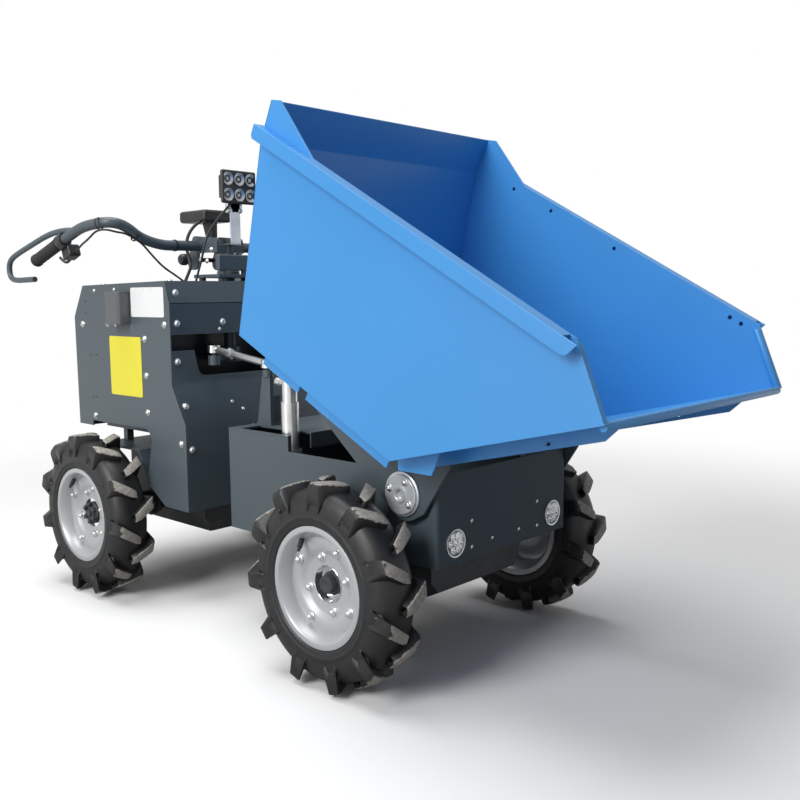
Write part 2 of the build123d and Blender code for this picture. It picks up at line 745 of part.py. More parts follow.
def steering_column():
    """Upright shaft with the drop arm below and the clamp cheeks above."""
    shaft = upright(column_x, 0, 600, 905, column_radius)
    ball_x, ball_y = column_x + arm_ball[0], arm_ball[1]
    arm_z = arm_ball_z - ball_radius - 15
    hub = upright(column_x, 0, arm_z - 14, arm_z + 26, 28)
    arm = rod((column_x, 0, arm_z), (ball_x, ball_y, arm_z), 11)
    end = upright(ball_x, ball_y, arm_z - 12, arm_z + 12, 15)
    stud = upright(ball_x, ball_y, arm_z, arm_ball_z, 6)
    cheek = side_plate(
        [(column_x - 132, 846, 20), (column_x - 76, 842, 22), (column_x - 74, 888, 6), (column_x + 12, 888),
         (column_x + 12, 925, 12), (column_x - 96, 935, 14)],
        37, 43,
    )
    bridge = block(column_x - 28, column_x + 12, -42, 42, 888, 906)
    head = shaft + [hub, arm, end, stud, bridge, *both_sides(cheek)]
    head -= across(bar_x, bar_z, -60, 60, bar_radius + seat_gap)
    return head - across(*knob_place, -60, 60, 6 + seat_gap)


def clamp_knob():
    """Hand knob on the cheek's pin."""
    pin = across(*knob_place, -62, 50, 6)
    knob = across(*knob_place, -78, -50, 17)
    return pin + knob


def bar_points():
    """Corners of the right half of the bar, from the middle to the end of the grip."""
    return [
        (bar_x, 0, bar_z), (bar_x, -200, bar_z), (bar_x - 4, -262, bar_z + 46), (bar_x - 20, -298, bar_z + 59),
        (bar_x - 87, -312, bar_z + 53), (bar_x - 152, -328, bar_z + 27), (bar_x - 328, -347, bar_z - 41),
    ]


def guard_points():
    """Corners of the right hand guard, from the bar round the grip."""
    return [
        (bar_x - 129, -324, bar_z + 35), (bar_x - 204, -332, bar_z + 43), (bar_x - 280, -345, bar_z + 24),
        (bar_x - 426, -360, bar_z - 30), (bar_x - 456, -360, bar_z - 69), (bar_x - 426, -352, bar_z - 90),
        (bar_x - 360, -335, bar_z - 91),
    ]


def handlebar():
    """Wide bar that rises and turns back to the grips, with the thinner hand guards."""
    half_bar = bent_tube(bar_points(), [60, 40, 40, 40, 60], bar_radius)
    guard = bent_tube(guard_points(), [50, 60, 18, 14, 14], guard_radius)
    side = half_bar + guard
    return side + mirrored(side)


def handle_grips():
    """Rubber sleeves over the ends of the bar."""
    inner, outer = Vector(*bar_points()[-2]), Vector(*bar_points()[-1])
    run = (outer - inner).normalized()
    start = outer - run * 118
    grip = rod(start, outer + run * 5, grip_radius) - rod(start - run, outer, bar_radius + seat_gap)
    return both_sides(grip)


def control_blocks():
    """Lever blocks beside the grips."""
    inner, outer = Vector(*bar_points()[-2]), Vector(*bar_points()[-1])
    run = (outer - inner).normalized()
    start = outer - run * 150
    ring = rod(start, start + run * 28, grip_radius + 3) - rod(start - run, start + run * 29, bar_radius + seat_gap)
    x, y, z = start + run * 14
    body = block(x - 4, x + 32, y + 12, y + 48, z - 46, z - 13)
    return both_sides(ring + body)


def console():
    """Slim instrument pod on its stalk."""
    pod = side_plate(
        [(bar_x - 149, bar_z + 73, 8), (bar_x - 119, bar_z + 99, 10), (bar_x + 66, bar_z + 115, 8),
         (bar_x + 84, bar_z + 93, 8), (bar_x + 6, bar_z + 81), (bar_x - 119, bar_z + 65, 8)],
        -46, 46,
    )
    foot = bar_z + bar_radius + 0.3
    stalk = side_plate([(bar_x - 24, foot), (bar_x + 10, foot), (bar_x + 2, bar_z + 87), (bar_x - 36, bar_z + 87)],
                       -9, 9)
    return pod + stalk


def work_lamp():
    """Square work lamp with cooling fins, on its bracket."""
    body = block(column_x + 20, column_x + 58, -56, 56, 1024, 1112)
    body = fillet(body.edges().filter_by(Axis.X), 9)
    fins = [block(column_x + 6, column_x + 21, y - 2, y + 2, 1032, 1104) for y in range(-44, 45, 11)]
    bracket = block(column_x + 34, column_x + 46, -14, 14, 907, 1026)
    foot = block(column_x - 20, column_x + 46, -14, 14, 906.3, 915)
    return body + [*fins, bracket, foot]


def tie_rod():
    """Rod between the two steering balls, with its lock nut."""
    start = Vector(column_x + arm_ball[0], arm_ball[1], arm_ball_z)
    end = Vector(hinge_x + arm_ball[0], arm_ball[1], front_ball_z)
    run = (end - start).normalized()
    body = rod(start, end, rod_radius)
    nut = extrude(Plane(origin=start + run * 62, z_dir=run) * RegularPolygon(13, 6), amount=14)
    rear_eye = upright(start.X, start.Y, start.Z - 9, start.Z + 9, ball_radius + 3)
    front_eye = upright(end.X, end.Y, end.Z - 9, end.Z + 9, ball_radius + 3)
    holes = [upright(start.X, start.Y, start.Z - 20, start.Z + 4, 6 + running_gap),
             upright(end.X, end.Y, end.Z - 20, end.Z + 4, 7 + running_gap)]
    return body + [nut, rear_eye, front_eye] - holes


def all_nodes():
    """Every piece of the machine by name."""
    nodes = {
        "rear_side_right": rear_side(), "rear_side_left": mirrored(rear_side()),
        "rear_back_panel": rear_back_panel(), "rear_top_cover": rear_top_cover(),
        "rear_front_upper": rear_front_upper(), "rear_front_lower": rear_front_lower(),
        "rear_floor": rear_floor(), "battery_pack": battery_pack(), "battery_tray": battery_tray(),
        "rear_gearbox": rear_gearbox(), "rear_axle": axle_beam(-wheelbase),
        "pivot_clevis": pivot_clevis(), "column_head": column_head(), "service_box": service_box(),
        "front_chassis": front_chassis(), "front_deck": front_deck(), "front_bumper": front_bumper(),
        "bumper_lamps": bumper_lamps(), "front_gearbox": front_gearbox(), "front_axle": axle_beam(0),
        "pivot_tongue": pivot_tongue(), "tip_pivots": tip_pivots(), "cylinder_cradle": cylinder_cradle(),
        "bucket_shell": bucket_shell(), "bucket_rims": bucket_rims(),
        "bucket_underframe": bucket_underframe(), "tip_arms": tip_arms(),
        "cylinder_barrel": cylinder_barrel(), "cylinder_sleeve": cylinder_sleeve(),
        "cylinder_ram": cylinder_ram(),
        "steering_column": steering_column(), "clamp_knob": clamp_knob(), "handlebar": handlebar(),
        "handle_grips": handle_grips(), "control_blocks": control_blocks(), "console": console(),
        "work_lamp": work_lamp(), "tie_rod": tie_rod(),
    }
    for end, x in (("front", 0), ("rear", -wheelbase)):
        for side, y in (("right", -track / 2), ("left", track / 2)):
            nodes[f"tyre_{end}_{side}"] = tyre(x, y)
            nodes[f"rim_{end}_{side}"] = wheel_rim(x, y)
    return nodes


def as_compound(piece):
    return Compound(children=list(piece)) if isinstance(piece, (list, ShapeList)) else piece


def main():
    os.makedirs("parts", exist_ok=True)
    nodes = {name: as_compound(piece) for name, piece in all_nodes().items()}
    low = min(piece.bounding_box().min.X for piece in nodes.values())
    high = max(piece.bounding_box().max.X for piece in nodes.values())
    shift = -(low + high) / 2
    for name, piece in nodes.items():
        export_step(Pos(shift, 0, tyre_radius - axle_height) * piece, f"parts/{name}.step")
    print(f"front axle at x = {shift:.4f}")


main()
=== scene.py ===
import json
from math import cos, pi, radians, sin

import bpy
from mathutils import Matrix, Vector
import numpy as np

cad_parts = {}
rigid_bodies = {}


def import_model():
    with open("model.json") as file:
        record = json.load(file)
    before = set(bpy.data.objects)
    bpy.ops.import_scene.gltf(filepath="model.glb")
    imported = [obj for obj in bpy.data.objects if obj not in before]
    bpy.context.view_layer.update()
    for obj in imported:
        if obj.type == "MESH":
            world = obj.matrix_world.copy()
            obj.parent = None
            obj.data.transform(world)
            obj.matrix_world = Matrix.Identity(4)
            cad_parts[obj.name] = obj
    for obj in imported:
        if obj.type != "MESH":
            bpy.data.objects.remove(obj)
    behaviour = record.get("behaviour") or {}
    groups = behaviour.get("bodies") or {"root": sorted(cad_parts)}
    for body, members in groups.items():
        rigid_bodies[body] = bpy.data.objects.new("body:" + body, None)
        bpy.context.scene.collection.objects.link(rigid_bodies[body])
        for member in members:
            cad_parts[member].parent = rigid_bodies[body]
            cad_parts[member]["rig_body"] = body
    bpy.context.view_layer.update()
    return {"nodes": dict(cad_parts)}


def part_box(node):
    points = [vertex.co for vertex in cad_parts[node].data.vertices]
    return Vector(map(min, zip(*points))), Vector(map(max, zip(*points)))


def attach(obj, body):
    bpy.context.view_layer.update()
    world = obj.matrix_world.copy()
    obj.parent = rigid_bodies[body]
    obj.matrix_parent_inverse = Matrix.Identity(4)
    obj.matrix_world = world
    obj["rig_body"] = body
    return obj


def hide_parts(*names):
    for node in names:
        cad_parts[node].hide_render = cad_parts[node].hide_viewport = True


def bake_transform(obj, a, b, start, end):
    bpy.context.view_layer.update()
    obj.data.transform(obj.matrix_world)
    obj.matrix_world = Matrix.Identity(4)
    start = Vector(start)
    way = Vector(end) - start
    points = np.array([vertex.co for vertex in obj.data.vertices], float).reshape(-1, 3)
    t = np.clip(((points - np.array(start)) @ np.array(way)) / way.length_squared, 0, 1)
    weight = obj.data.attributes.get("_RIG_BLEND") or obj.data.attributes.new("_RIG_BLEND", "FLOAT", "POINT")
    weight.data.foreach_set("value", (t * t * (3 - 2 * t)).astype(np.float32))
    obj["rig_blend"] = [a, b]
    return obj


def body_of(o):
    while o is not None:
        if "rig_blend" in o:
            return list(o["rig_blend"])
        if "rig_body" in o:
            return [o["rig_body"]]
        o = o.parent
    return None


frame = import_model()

axleLow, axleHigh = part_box("tyre_front_right")
frontAxleX = (axleLow.x + axleHigh.x) / 2
rearLow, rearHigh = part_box("tyre_rear_right")
rearAxleX = (rearLow.x + rearHigh.x) / 2
axleZ = (axleLow.z + axleHigh.z) / 2
tyreRadius = (axleHigh.z - axleLow.z) / 2
mm = 0.001


def at(x, y, z):
    # millimetres from the front axle to metres in the frame
    return Vector((frontAxleX + x * mm, y * mm, z * mm))


# Small modelling helpers

def deselectAll():
    bpy.ops.object.select_all(action="DESELECT")


def makeActive(piece):
    deselectAll()
    piece.select_set(True)
    bpy.context.view_layer.objects.active = piece


def applyPlace(piece):
    makeActive(piece)
    bpy.ops.object.transform_apply(location=True, rotation=True, scale=True)


def applyModifiers(piece):
    makeActive(piece)
    for modifier in list(piece.modifiers):
        bpy.ops.object.modifier_apply(modifier=modifier.name)


def joinPieces(pieces, name):
    deselectAll()
    for piece in pieces:
        piece.select_set(True)
    bpy.context.view_layer.objects.active = pieces[0]
    if len(pieces) > 1:
        bpy.ops.object.join()
    joined = bpy.context.active_object
    joined.name = name
    joined.data.name = name
    return joined


def smoothBy(piece, degrees):
    makeActive(piece)
    bpy.ops.object.shade_smooth_by_angle(angle=radians(degrees))


def softenEdges(piece, width, segments=2, angle=32):
    bevel = piece.modifiers.new("softEdge", "BEVEL")
    bevel.width = width
    bevel.segments = segments
    bevel.limit_method = "ANGLE"
    bevel.angle_limit = radians(angle)
    bevel.miter_outer = "MITER_ARC"
    applyModifiers(piece)


def keepFlatsFlat(piece):
    weighted = piece.modifiers.new("flatFaces", "WEIGHTED_NORMAL")
    weighted.keep_sharp = True
    applyModifiers(piece)


def pickFaces(piece, wanted):
    # leaves edit mode with only the wanted faces selected
    makeActive(piece)
    bpy.ops.object.mode_set(mode="EDIT")
    bpy.ops.mesh.select_all(action="DESELECT")
    bpy.ops.mesh.select_mode(type="FACE")
    bpy.ops.object.mode_set(mode="OBJECT")
    for face in piece.data.polygons:
        face.select = wanted(face)
    bpy.ops.object.mode_set(mode="EDIT")


def editAll():
    bpy.ops.object.mode_set(mode="EDIT")
    bpy.ops.mesh.select_all(action="SELECT")


def leaveEdit():
    bpy.ops.mesh.select_all(action="DESELECT")
    bpy.ops.object.mode_set(mode="OBJECT")


def turnTo(direction):
    return Vector(direction).normalized().to_track_quat("Z", "Y").to_matrix().to_4x4()


def finishPiece(piece, body, material, replaced=()):
    applyPlace(piece)
    piece.data.materials.clear()
    piece.data.materials.append(material)
    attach(piece, body)
    if replaced:
        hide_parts(*replaced)
    return piece


# Primitives shaped a little further

def roundedBlock(name, low, high, width, segments=3):
    deselectAll()
    low, high = Vector(low), Vector(high)
    bpy.ops.mesh.primitive_cube_add(size=1, location=(low + high) / 2, scale=high - low)
    block = bpy.context.active_object
    block.name = name
    applyPlace(block)
    softenEdges(block, width, segments)
    smoothBy(block, 50)
    keepFlatsFlat(block)
    return block


def barBetween(name, start, end, radius, sides=24, soft=0.0):
    deselectAll()
    start, end = Vector(start), Vector(end)
    bpy.ops.mesh.primitive_cylinder_add(vertices=sides, radius=radius, depth=(end - start).length)
    bar = bpy.context.active_object
    bar.name = name
    bar.matrix_world = Matrix.Translation((start + end) / 2) @ turnTo(end - start)
    applyPlace(bar)
    if soft:
        softenEdges(bar, soft, 2, 50)
    smoothBy(bar, 40)
    return bar


def spinProfile(name, profile, sides):
    # profile points are (radius, along) in millimetres and turn about the local Y axis
    deselectAll()
    bpy.ops.mesh.primitive_circle_add(vertices=len(profile), radius=1, fill_type="NOTHING")
    ring = bpy.context.active_object
    ring.name = name
    for vertex, (radius, along) in zip(ring.data.vertices, profile):
        vertex.co = (radius * mm, along * mm, 0)
    editAll()
    bpy.ops.mesh.spin(steps=sides, angle=2 * pi, center=(0, 0, 0), axis=(0, 1, 0))
    bpy.ops.mesh.select_all(action="SELECT")
    bpy.ops.mesh.remove_doubles(threshold=0.00002)
    bpy.ops.mesh.select_all(action="SELECT")
    bpy.ops.mesh.normals_make_consistent(inside=False)
    leaveEdit()
    return ring


def outlinePlate(name, corners, push, soft=0.8):
    # corners in millimetres are filled, and pushed out to a plate by a vector
    deselectAll()
    bpy.ops.mesh.primitive_circle_add(vertices=len(corners), radius=1, fill_type="NGON")
    plate = bpy.context.active_object
    plate.name = name
    for vertex, corner in zip(plate.data.vertices, corners):
        vertex.co = at(*corner)
    editAll()
    bpy.ops.mesh.extrude_region_move(TRANSFORM_OT_translate={"value": Vector(push) * mm})
    bpy.ops.mesh.select_all(action="SELECT")
    bpy.ops.mesh.normals_make_consistent(inside=False)
    leaveEdit()
    if soft:
        softenEdges(plate, soft * mm, 2, 40)
    smoothBy(plate, 35)
    keepFlatsFlat(plate)
    return plate


def sidePlate(name, outline, low, high, soft=0.8):
    return outlinePlate(name, [(x, low, z) for x, z in outline], (0, high - low, 0), soft)


def foldedStrip(name, line, low, high, thickness, soft=2.4):
    # a sheet that runs across the machine along a line of (x, z) places, thickened to the left of the line
    deselectAll()
    bpy.ops.mesh.primitive_grid_add(x_subdivisions=len(line) - 1, y_subdivisions=1, size=2)
    strip = bpy.context.active_object
    strip.name = name
    for vertex in strip.data.vertices:
        x, z = line[round((vertex.co.x + 1) / 2 * (len(line) - 1))]
        vertex.co = at(x, low if vertex.co.y < 0 else high, z)
    thicken = strip.modifiers.new("sheet", "SOLIDIFY")
    thicken.thickness = thickness * mm
    thicken.offset = 1
    thicken.use_even_offset = True
    applyModifiers(strip)
    softenEdges(strip, soft * mm, 3, 12)
    smoothBy(strip, 35)
    keepFlatsFlat(strip)
    return strip


def mirroredTwin(piece):
    twin = copyAt(piece, Matrix.Scale(-1, 4, (0, 1, 0)) @ piece.matrix_world)
    applyPlace(twin)
    editAll()
    bpy.ops.mesh.customdata_custom_splitnormals_clear()
    bpy.ops.mesh.normals_make_consistent(inside=False)
    leaveEdit()
    smoothBy(twin, 35)
    keepFlatsFlat(twin)
    return twin


def bothSides(piece):
    applyPlace(piece)
    return [piece, mirroredTwin(piece)]


def routeTube(name, corners, radius, sides=6):
    # round tube along one smooth route; the corners in millimetres steer a second-order spline
    curve = bpy.data.curves.new(name, "CURVE")
    curve.dimensions = "3D"
    route = curve.splines.new("NURBS")
    route.points.add(len(corners) - 1)
    for point, corner in zip(route.points, corners):
        point.co = (*at(*corner), 1)
    route.order_u = 3
    route.use_endpoint_u = True
    route.resolution_u = 10
    curve.bevel_depth = radius * mm
    curve.bevel_resolution = sides
    curve.use_fill_caps = True
    tube = bpy.data.objects.new(name, curve)
    bpy.context.collection.objects.link(tube)
    makeActive(tube)
    bpy.ops.object.convert(target="MESH")
    tube = bpy.context.active_object
    smoothBy(tube, 50)
    return tube


def withMirror(corners):
    # route from the left end over the middle to the right end; the first corner is in the middle
    return [(x, -y, z) for x, y, z in reversed(corners[1:])] + list(corners)


def alongLocalY(place, direction):
    turn = Vector(direction).normalized().to_track_quat("Y", "Z").to_matrix().to_4x4()
    return Matrix.Translation(place) @ turn


def cutAway(piece, tools):
    # the tools are joined and taken away from the piece
    tool = joinPieces(tools, "cutter")
    cut = piece.modifiers.new("cut", "BOOLEAN")
    cut.operation = "DIFFERENCE"
    cut.solver = "EXACT"
    cut.object = tool
    applyModifiers(piece)
    dropPiece(tool)
    smoothBy(piece, 35)
    keepFlatsFlat(piece)
    return piece


def copyAt(source, matrix):
    twin = source.copy()
    twin.data = source.data.copy()
    bpy.context.collection.objects.link(twin)
    twin.matrix_world = matrix
    return twin


def copiesAt(source, matrices, name):
    twins = [copyAt(source, matrix) for matrix in matrices]
    for twin in twins:
        applyPlace(twin)
    return joinPieces(twins, name)


def dropPiece(piece):
    bpy.data.objects.remove(piece, do_unlink=True)


# Shader groups shared by the finishes

def newGroup(name, inputs, outputs):
    group = bpy.data.node_groups.new(name, "ShaderNodeTree")
    for label, kind, value in inputs:
        socket = group.interface.new_socket(name=label, in_out="INPUT", socket_type=kind)
        socket.default_value = value
    for label, kind in outputs:
        group.interface.new_socket(name=label, in_out="OUTPUT", socket_type=kind)
    group.nodes.new("NodeGroupInput")
    group.nodes.new("NodeGroupOutput")
    return group


def groupEnds(group):
    start = next(node for node in group.nodes if node.type == "GROUP_INPUT")
    end = next(node for node in group.nodes if node.type == "GROUP_OUTPUT")
    return start, end


def addMath(tree, operation, first=None, second=None, clamp=False):
    node = tree.nodes.new("ShaderNodeMath")
    node.operation = operation
    node.use_clamp = clamp
    for index, value in enumerate((first, second)):
        if value is None:
            continue
        if isinstance(value, (int, float)):
            node.inputs[index].default_value = value
        else:
            tree.links.new(value, node.inputs[index])
    return node.outputs[0]


def addRange(tree, value, fromLow, fromHigh, toLow=0.0, toHigh=1.0):
    node = tree.nodes.new("ShaderNodeMapRange")
    tree.links.new(value, node.inputs["Value"])
    for label, number in (("From Min", fromLow), ("From Max", fromHigh), ("To Min", toLow), ("To Max", toHigh)):
        node.inputs[label].default_value = number
    return node.outputs["Result"]


def makeGrainGroup():
    # fine surface height, and a slow tone that drifts over the surface
    group = newGroup(
        "surfaceGrain",
        [("Scale", "NodeSocketFloat", 400.0), ("Drift Scale", "NodeSocketFloat", 5.0)],
        [("Height", "NodeSocketFloat"), ("Tone", "NodeSocketFloat")],
    )
    start, end = groupEnds(group)
    place = group.nodes.new("ShaderNodeTexCoord")
    fine = group.nodes.new("ShaderNodeTexNoise")
    fine.inputs["Detail"].default_value = 2.0
    drift = group.nodes.new("ShaderNodeTexNoise")
    drift.inputs["Detail"].default_value = 4.0
    group.links.new(place.outputs["Object"], fine.inputs["Vector"])
    group.links.new(place.outputs["Object"], drift.inputs["Vector"])
    group.links.new(start.outputs["Scale"], fine.inputs["Scale"])
    group.links.new(start.outputs["Drift Scale"], drift.inputs["Scale"])
    group.links.new(fine.outputs["Fac"], end.inputs["Height"])
    group.links.new(addRange(group, drift.outputs["Fac"], 0.3, 0.7), end.inputs["Tone"])
    return group


def makeWearAndHighlightGroup():
    # broken mask along outer edges: partly rubbed paint, partly painted edge highlight where the edge colour is
    # lighter
    group = newGroup(
        "edgeWearAndHighlight",
        [("Reach", "NodeSocketFloat", 0.53), ("Break Scale", "NodeSocketFloat", 60.0)],
        [("Mask", "NodeSocketFloat")],
    )
    start, end = groupEnds(group)
    shape = group.nodes.new("ShaderNodeNewGeometry")
    place = group.nodes.new("ShaderNodeTexCoord")
    noise = group.nodes.new("ShaderNodeTexNoise")
    noise.inputs["Detail"].default_value = 5.0
    group.links.new(place.outputs["Object"], noise.inputs["Vector"])
    group.links.new(start.outputs["Break Scale"], noise.inputs["Scale"])
    beyond = addMath(group, "SUBTRACT", shape.outputs["Pointiness"], start.outputs["Reach"])
    edge = addMath(group, "MULTIPLY", beyond, 14.0, clamp=True)
    broken = addRange(group, noise.outputs["Fac"], 0.42, 0.62)
    group.links.new(addMath(group, "MULTIPLY", edge, broken, clamp=True), end.inputs["Mask"])
    return group


def makeDustGroup():
    # film of dust that settles on faces turned upwards and gathers in patches
    group = newGroup(
        "settledDust",
        [("Scale", "NodeSocketFloat", 14.0), ("Amount", "NodeSocketFloat", 0.3)],
        [("Mask", "NodeSocketFloat")],
    )
    start, end = groupEnds(group)
    shape = group.nodes.new("ShaderNodeNewGeometry")
    split = group.nodes.new("ShaderNodeSeparateXYZ")
    place = group.nodes.new("ShaderNodeTexCoord")
    noise = group.nodes.new("ShaderNodeTexNoise")
    noise.inputs["Detail"].default_value = 7.0
    group.links.new(shape.outputs["Normal"], split.inputs["Vector"])
    group.links.new(place.outputs["Object"], noise.inputs["Vector"])
    group.links.new(start.outputs["Scale"], noise.inputs["Scale"])
    facing = addRange(group, split.outputs["Z"], -0.3, 1.0, 0.15, 1.0)
    patch = addRange(group, noise.outputs["Fac"], 0.35, 0.75)
    film = addMath(group, "MULTIPLY", facing, patch)
    group.links.new(addMath(group, "MULTIPLY", film, start.outputs["Amount"], clamp=True), end.inputs["Mask"])
    return group


surfaceGrain = makeGrainGroup()
edgeWearAndHighlight = makeWearAndHighlightGroup()
settledDust = makeDustGroup()
print("shader groups ready")


def placeGroup(tree, group, **values):
    node = tree.nodes.new("ShaderNodeGroup")
    node.node_tree = group
    for label, value in values.items():
        node.inputs[label.replace("_", " ")].default_value = value
    return node


def mixColours(tree, mask, first, second):
    node = tree.nodes.new("ShaderNodeMix")
    node.data_type = "RGBA"
    node.clamp_factor = True
    if isinstance(mask, (int, float)):
        node.inputs["Factor"].default_value = mask
    else:
        tree.links.new(mask, node.inputs["Factor"])
    for socket, value in ((node.inputs[6], first), (node.inputs[7], second)):
        if isinstance(value, (tuple, list)):
            socket.default_value = (*value[:3], 1.0)
        else:
            tree.links.new(value, socket)
    return node.outputs[2]


def newMaterial(name, **shaderValues):
    material = bpy.data.materials.new(name)
    material.use_nodes = True
    shader = material.node_tree.nodes["Principled BSDF"]
    for label, value in shaderValues.items():
        shader.inputs[label.replace("_", " ")].default_value = value
    return material, material.node_tree, shader


def addBump(tree, shader, height, strength, distance):
    bump = tree.nodes.new("ShaderNodeBump")
    bump.inputs["Strength"].default_value = strength
    bump.inputs["Distance"].default_value = distance
    tree.links.new(height, bump.inputs["Height"])
    tree.links.new(bump.outputs["Normal"], shader.inputs["Normal"])


def shade(colour, factor):
    return tuple(min(1.0, part * factor) for part in colour)


def paintFinish(name, look):
    material, tree, shader = newMaterial(
        name, Metallic=look.get("metallic", 0.0), Coat_Weight=look.get("coat", 0.0), Coat_Roughness=0.25,
        Specular_IOR_Level=look.get("specular", 0.5),
    )
    grain = placeGroup(tree, surfaceGrain, Scale=look["grainScale"], Drift_Scale=look.get("driftScale", 4.0))
    tone = mixColours(tree, grain.outputs["Tone"], shade(look["colour"], 0.98), shade(look["colour"], 1.02))
    # outer edges mix to a lighter edge colour: partly rubbed paint, partly painted edge highlight
    wearAndHighlight = placeGroup(tree, edgeWearAndHighlight, Reach=look.get("edgeReach", 0.55), Break_Scale=70.0)
    wornAndHighlighted = mixColours(tree, wearAndHighlight.outputs["Mask"], tone, look.get("wornAndHighlightColour", shade(look["colour"], 1.8)))
    dust = placeGroup(tree, settledDust, Scale=look.get("dustScale", 9.0), Amount=look.get("dust", 0.1))
    dusty = mixColours(tree, dust.outputs["Mask"], wornAndHighlighted, look.get("dustColour", (0.3, 0.27, 0.23)))
    tree.links.new(dusty, shader.inputs["Base Color"])
    rough = look["roughness"]
    tree.links.new(
        addRange(tree, grain.outputs["Tone"], 0.0, 1.0, rough - 0.015, rough + 0.02), shader.inputs["Roughness"]
    )
    addBump(tree, shader, grain.outputs["Height"], look["grainStrength"], 0.0006)
    return material


def metalFinish(name, look):
    material, tree, shader = newMaterial(name, Metallic=1.0)
    grain = placeGroup(tree, surfaceGrain, Scale=look["grainScale"], Drift_Scale=look.get("driftScale", 22.0))
    tone = mixColours(tree, grain.outputs["Tone"], shade(look["colour"], 0.78), look["colour"])
    dust = placeGroup(tree, settledDust, Scale=25.0, Amount=look.get("dust", 0.06))
    tree.links.new(mixColours(tree, dust.outputs["Mask"], tone, (0.34, 0.3, 0.25)), shader.inputs["Base Color"])
    rough = look["roughness"]
    tree.links.new(
        addRange(tree, grain.outputs["Tone"], 0.0, 1.0, rough + 0.08, rough - 0.03), shader.inputs["Roughness"]
    )
    addBump(tree, shader, grain.outputs["Height"], look.get("grainStrength", 0.05), 0.0004)
    return material


def rubberFinish(name, look):
    # black rubber; the tops of the bars are scuffed to a brown grey, found by their distance from the axle
    material, tree, shader = newMaterial(name)
    place = tree.nodes.new("ShaderNodeTexCoord")
    centred = tree.nodes.new("ShaderNodeMapping")
    centred.inputs["Location"].default_value = (-look["centre"][0], 0.0, -look["centre"][1])
    split = tree.nodes.new("ShaderNodeSeparateXYZ")
    tree.links.new(place.outputs["Object"], centred.inputs["Vector"])
    tree.links.new(centred.outputs["Vector"], split.inputs["Vector"])
    reach = addMath(
        tree, "SQRT",
        addMath(
            tree, "ADD",
            addMath(tree, "POWER", addMath(tree, "ABSOLUTE", split.outputs["X"]), 2.0),
            addMath(tree, "POWER", addMath(tree, "ABSOLUTE", split.outputs["Z"]), 2.0),
        ),
    )
    grain = placeGroup(tree, surfaceGrain, Scale=look["grainScale"], Drift_Scale=38.0)
    ragged = tree.nodes.new("ShaderNodeTexNoise")
    ragged.inputs["Scale"].default_value = 130.0
    ragged.inputs["Detail"].default_value = 6.0
    tree.links.new(place.outputs["Object"], ragged.inputs["Vector"])
    offset = addRange(tree, ragged.outputs["Fac"], 0.3, 0.7, -0.0016, 0.0016)
    scuffed = addRange(tree, addMath(tree, "ADD", reach, offset), look["scuffFrom"], look["scuffFrom"] + 0.0012)
    tone = mixColours(tree, grain.outputs["Tone"], look["colour"], look["paler"])
    scuffTone = mixColours(tree, ragged.outputs["Fac"], look["scuffDark"], look["scuffPale"])
    coloured = mixColours(tree, scuffed, tone, scuffTone)
    dust = placeGroup(tree, settledDust, Scale=30.0, Amount=0.05)
    tree.links.new(
        mixColours(tree, dust.outputs["Mask"], coloured, (0.16, 0.145, 0.125)), shader.inputs["Base Color"]
    )
    tree.links.new(addRange(tree, scuffed, 0.0, 1.0, 0.43, 0.88), shader.inputs["Roughness"])
    addBump(tree, shader, addMath(tree, "ADD", grain.outputs["Height"], ragged.outputs["Fac"]), 0.22, 0.0007)
    return material


def plasticFinish(name, colour, roughness, grainScale=700.0, strength=0.12, drift=0.18, dustAmount=0.10):
    material, tree, shader = newMaterial(name)
    grain = placeGroup(tree, surfaceGrain, Scale=grainScale, Drift_Scale=12.0)
    tone = mixColours(tree, grain.outputs["Tone"], shade(colour, 1 - drift), shade(colour, 1 + drift))
    dust = placeGroup(tree, settledDust, Scale=20.0, Amount=dustAmount)
    tree.links.new(mixColours(tree, dust.outputs["Mask"], tone, (0.2, 0.185, 0.165)), shader.inputs["Base Color"])
    tree.links.new(
        addRange(tree, grain.outputs["Tone"], 0.0, 1.0, roughness - 0.05, roughness + 0.08),
        shader.inputs["Roughness"],
    )
    addBump(tree, shader, grain.outputs["Height"], strength, 0.0005)
    return material


slateColour = (0.070, 0.093, 0.108)
bucketColour = (0.050, 0.290, 0.680)

# each paint's lighter edge colour stands partly for rubbed paint and partly for painted edge highlight
slatePaint = paintFinish("slatePaint", {
    "colour": slateColour, "roughness": 0.42, "grainScale": 320.0, "grainStrength": 0.02, "coat": 0.12,
    "dust": 0.003, "dustScale": 2.0, "edgeReach": 0.80, "wornAndHighlightColour": (0.20, 0.22, 0.25),
})
bumperPaint = paintFinish("bumperPaint", {
    "colour": slateColour, "roughness": 0.48, "grainScale": 320.0, "grainStrength": 0.02, "specular": 0.1,
    "dust": 0.003, "dustScale": 2.0, "edgeReach": 0.80, "wornAndHighlightColour": (0.20, 0.22, 0.25),
})
bucketPaint = paintFinish("bucketPaint", {
    "colour": bucketColour, "roughness": 0.40, "grainScale": 260.0, "grainStrength": 0.02, "coat": 0.15,
    "dust": 0.006, "dustScale": 2.0, "edgeReach": 0.72, "wornAndHighlightColour": (0.24, 0.50, 0.86),
    "dustColour": (0.32, 0.42, 0.52),
})
casingPaint = paintFinish("casingPaint", {
    "colour": (0.030, 0.034, 0.039), "roughness": 0.5, "grainScale": 300.0, "grainStrength": 0.25,
    "dust": 0.25, "dustScale": 12.0, "edgeReach": 0.55, "wornAndHighlightColour": (0.09, 0.095, 0.10),
})
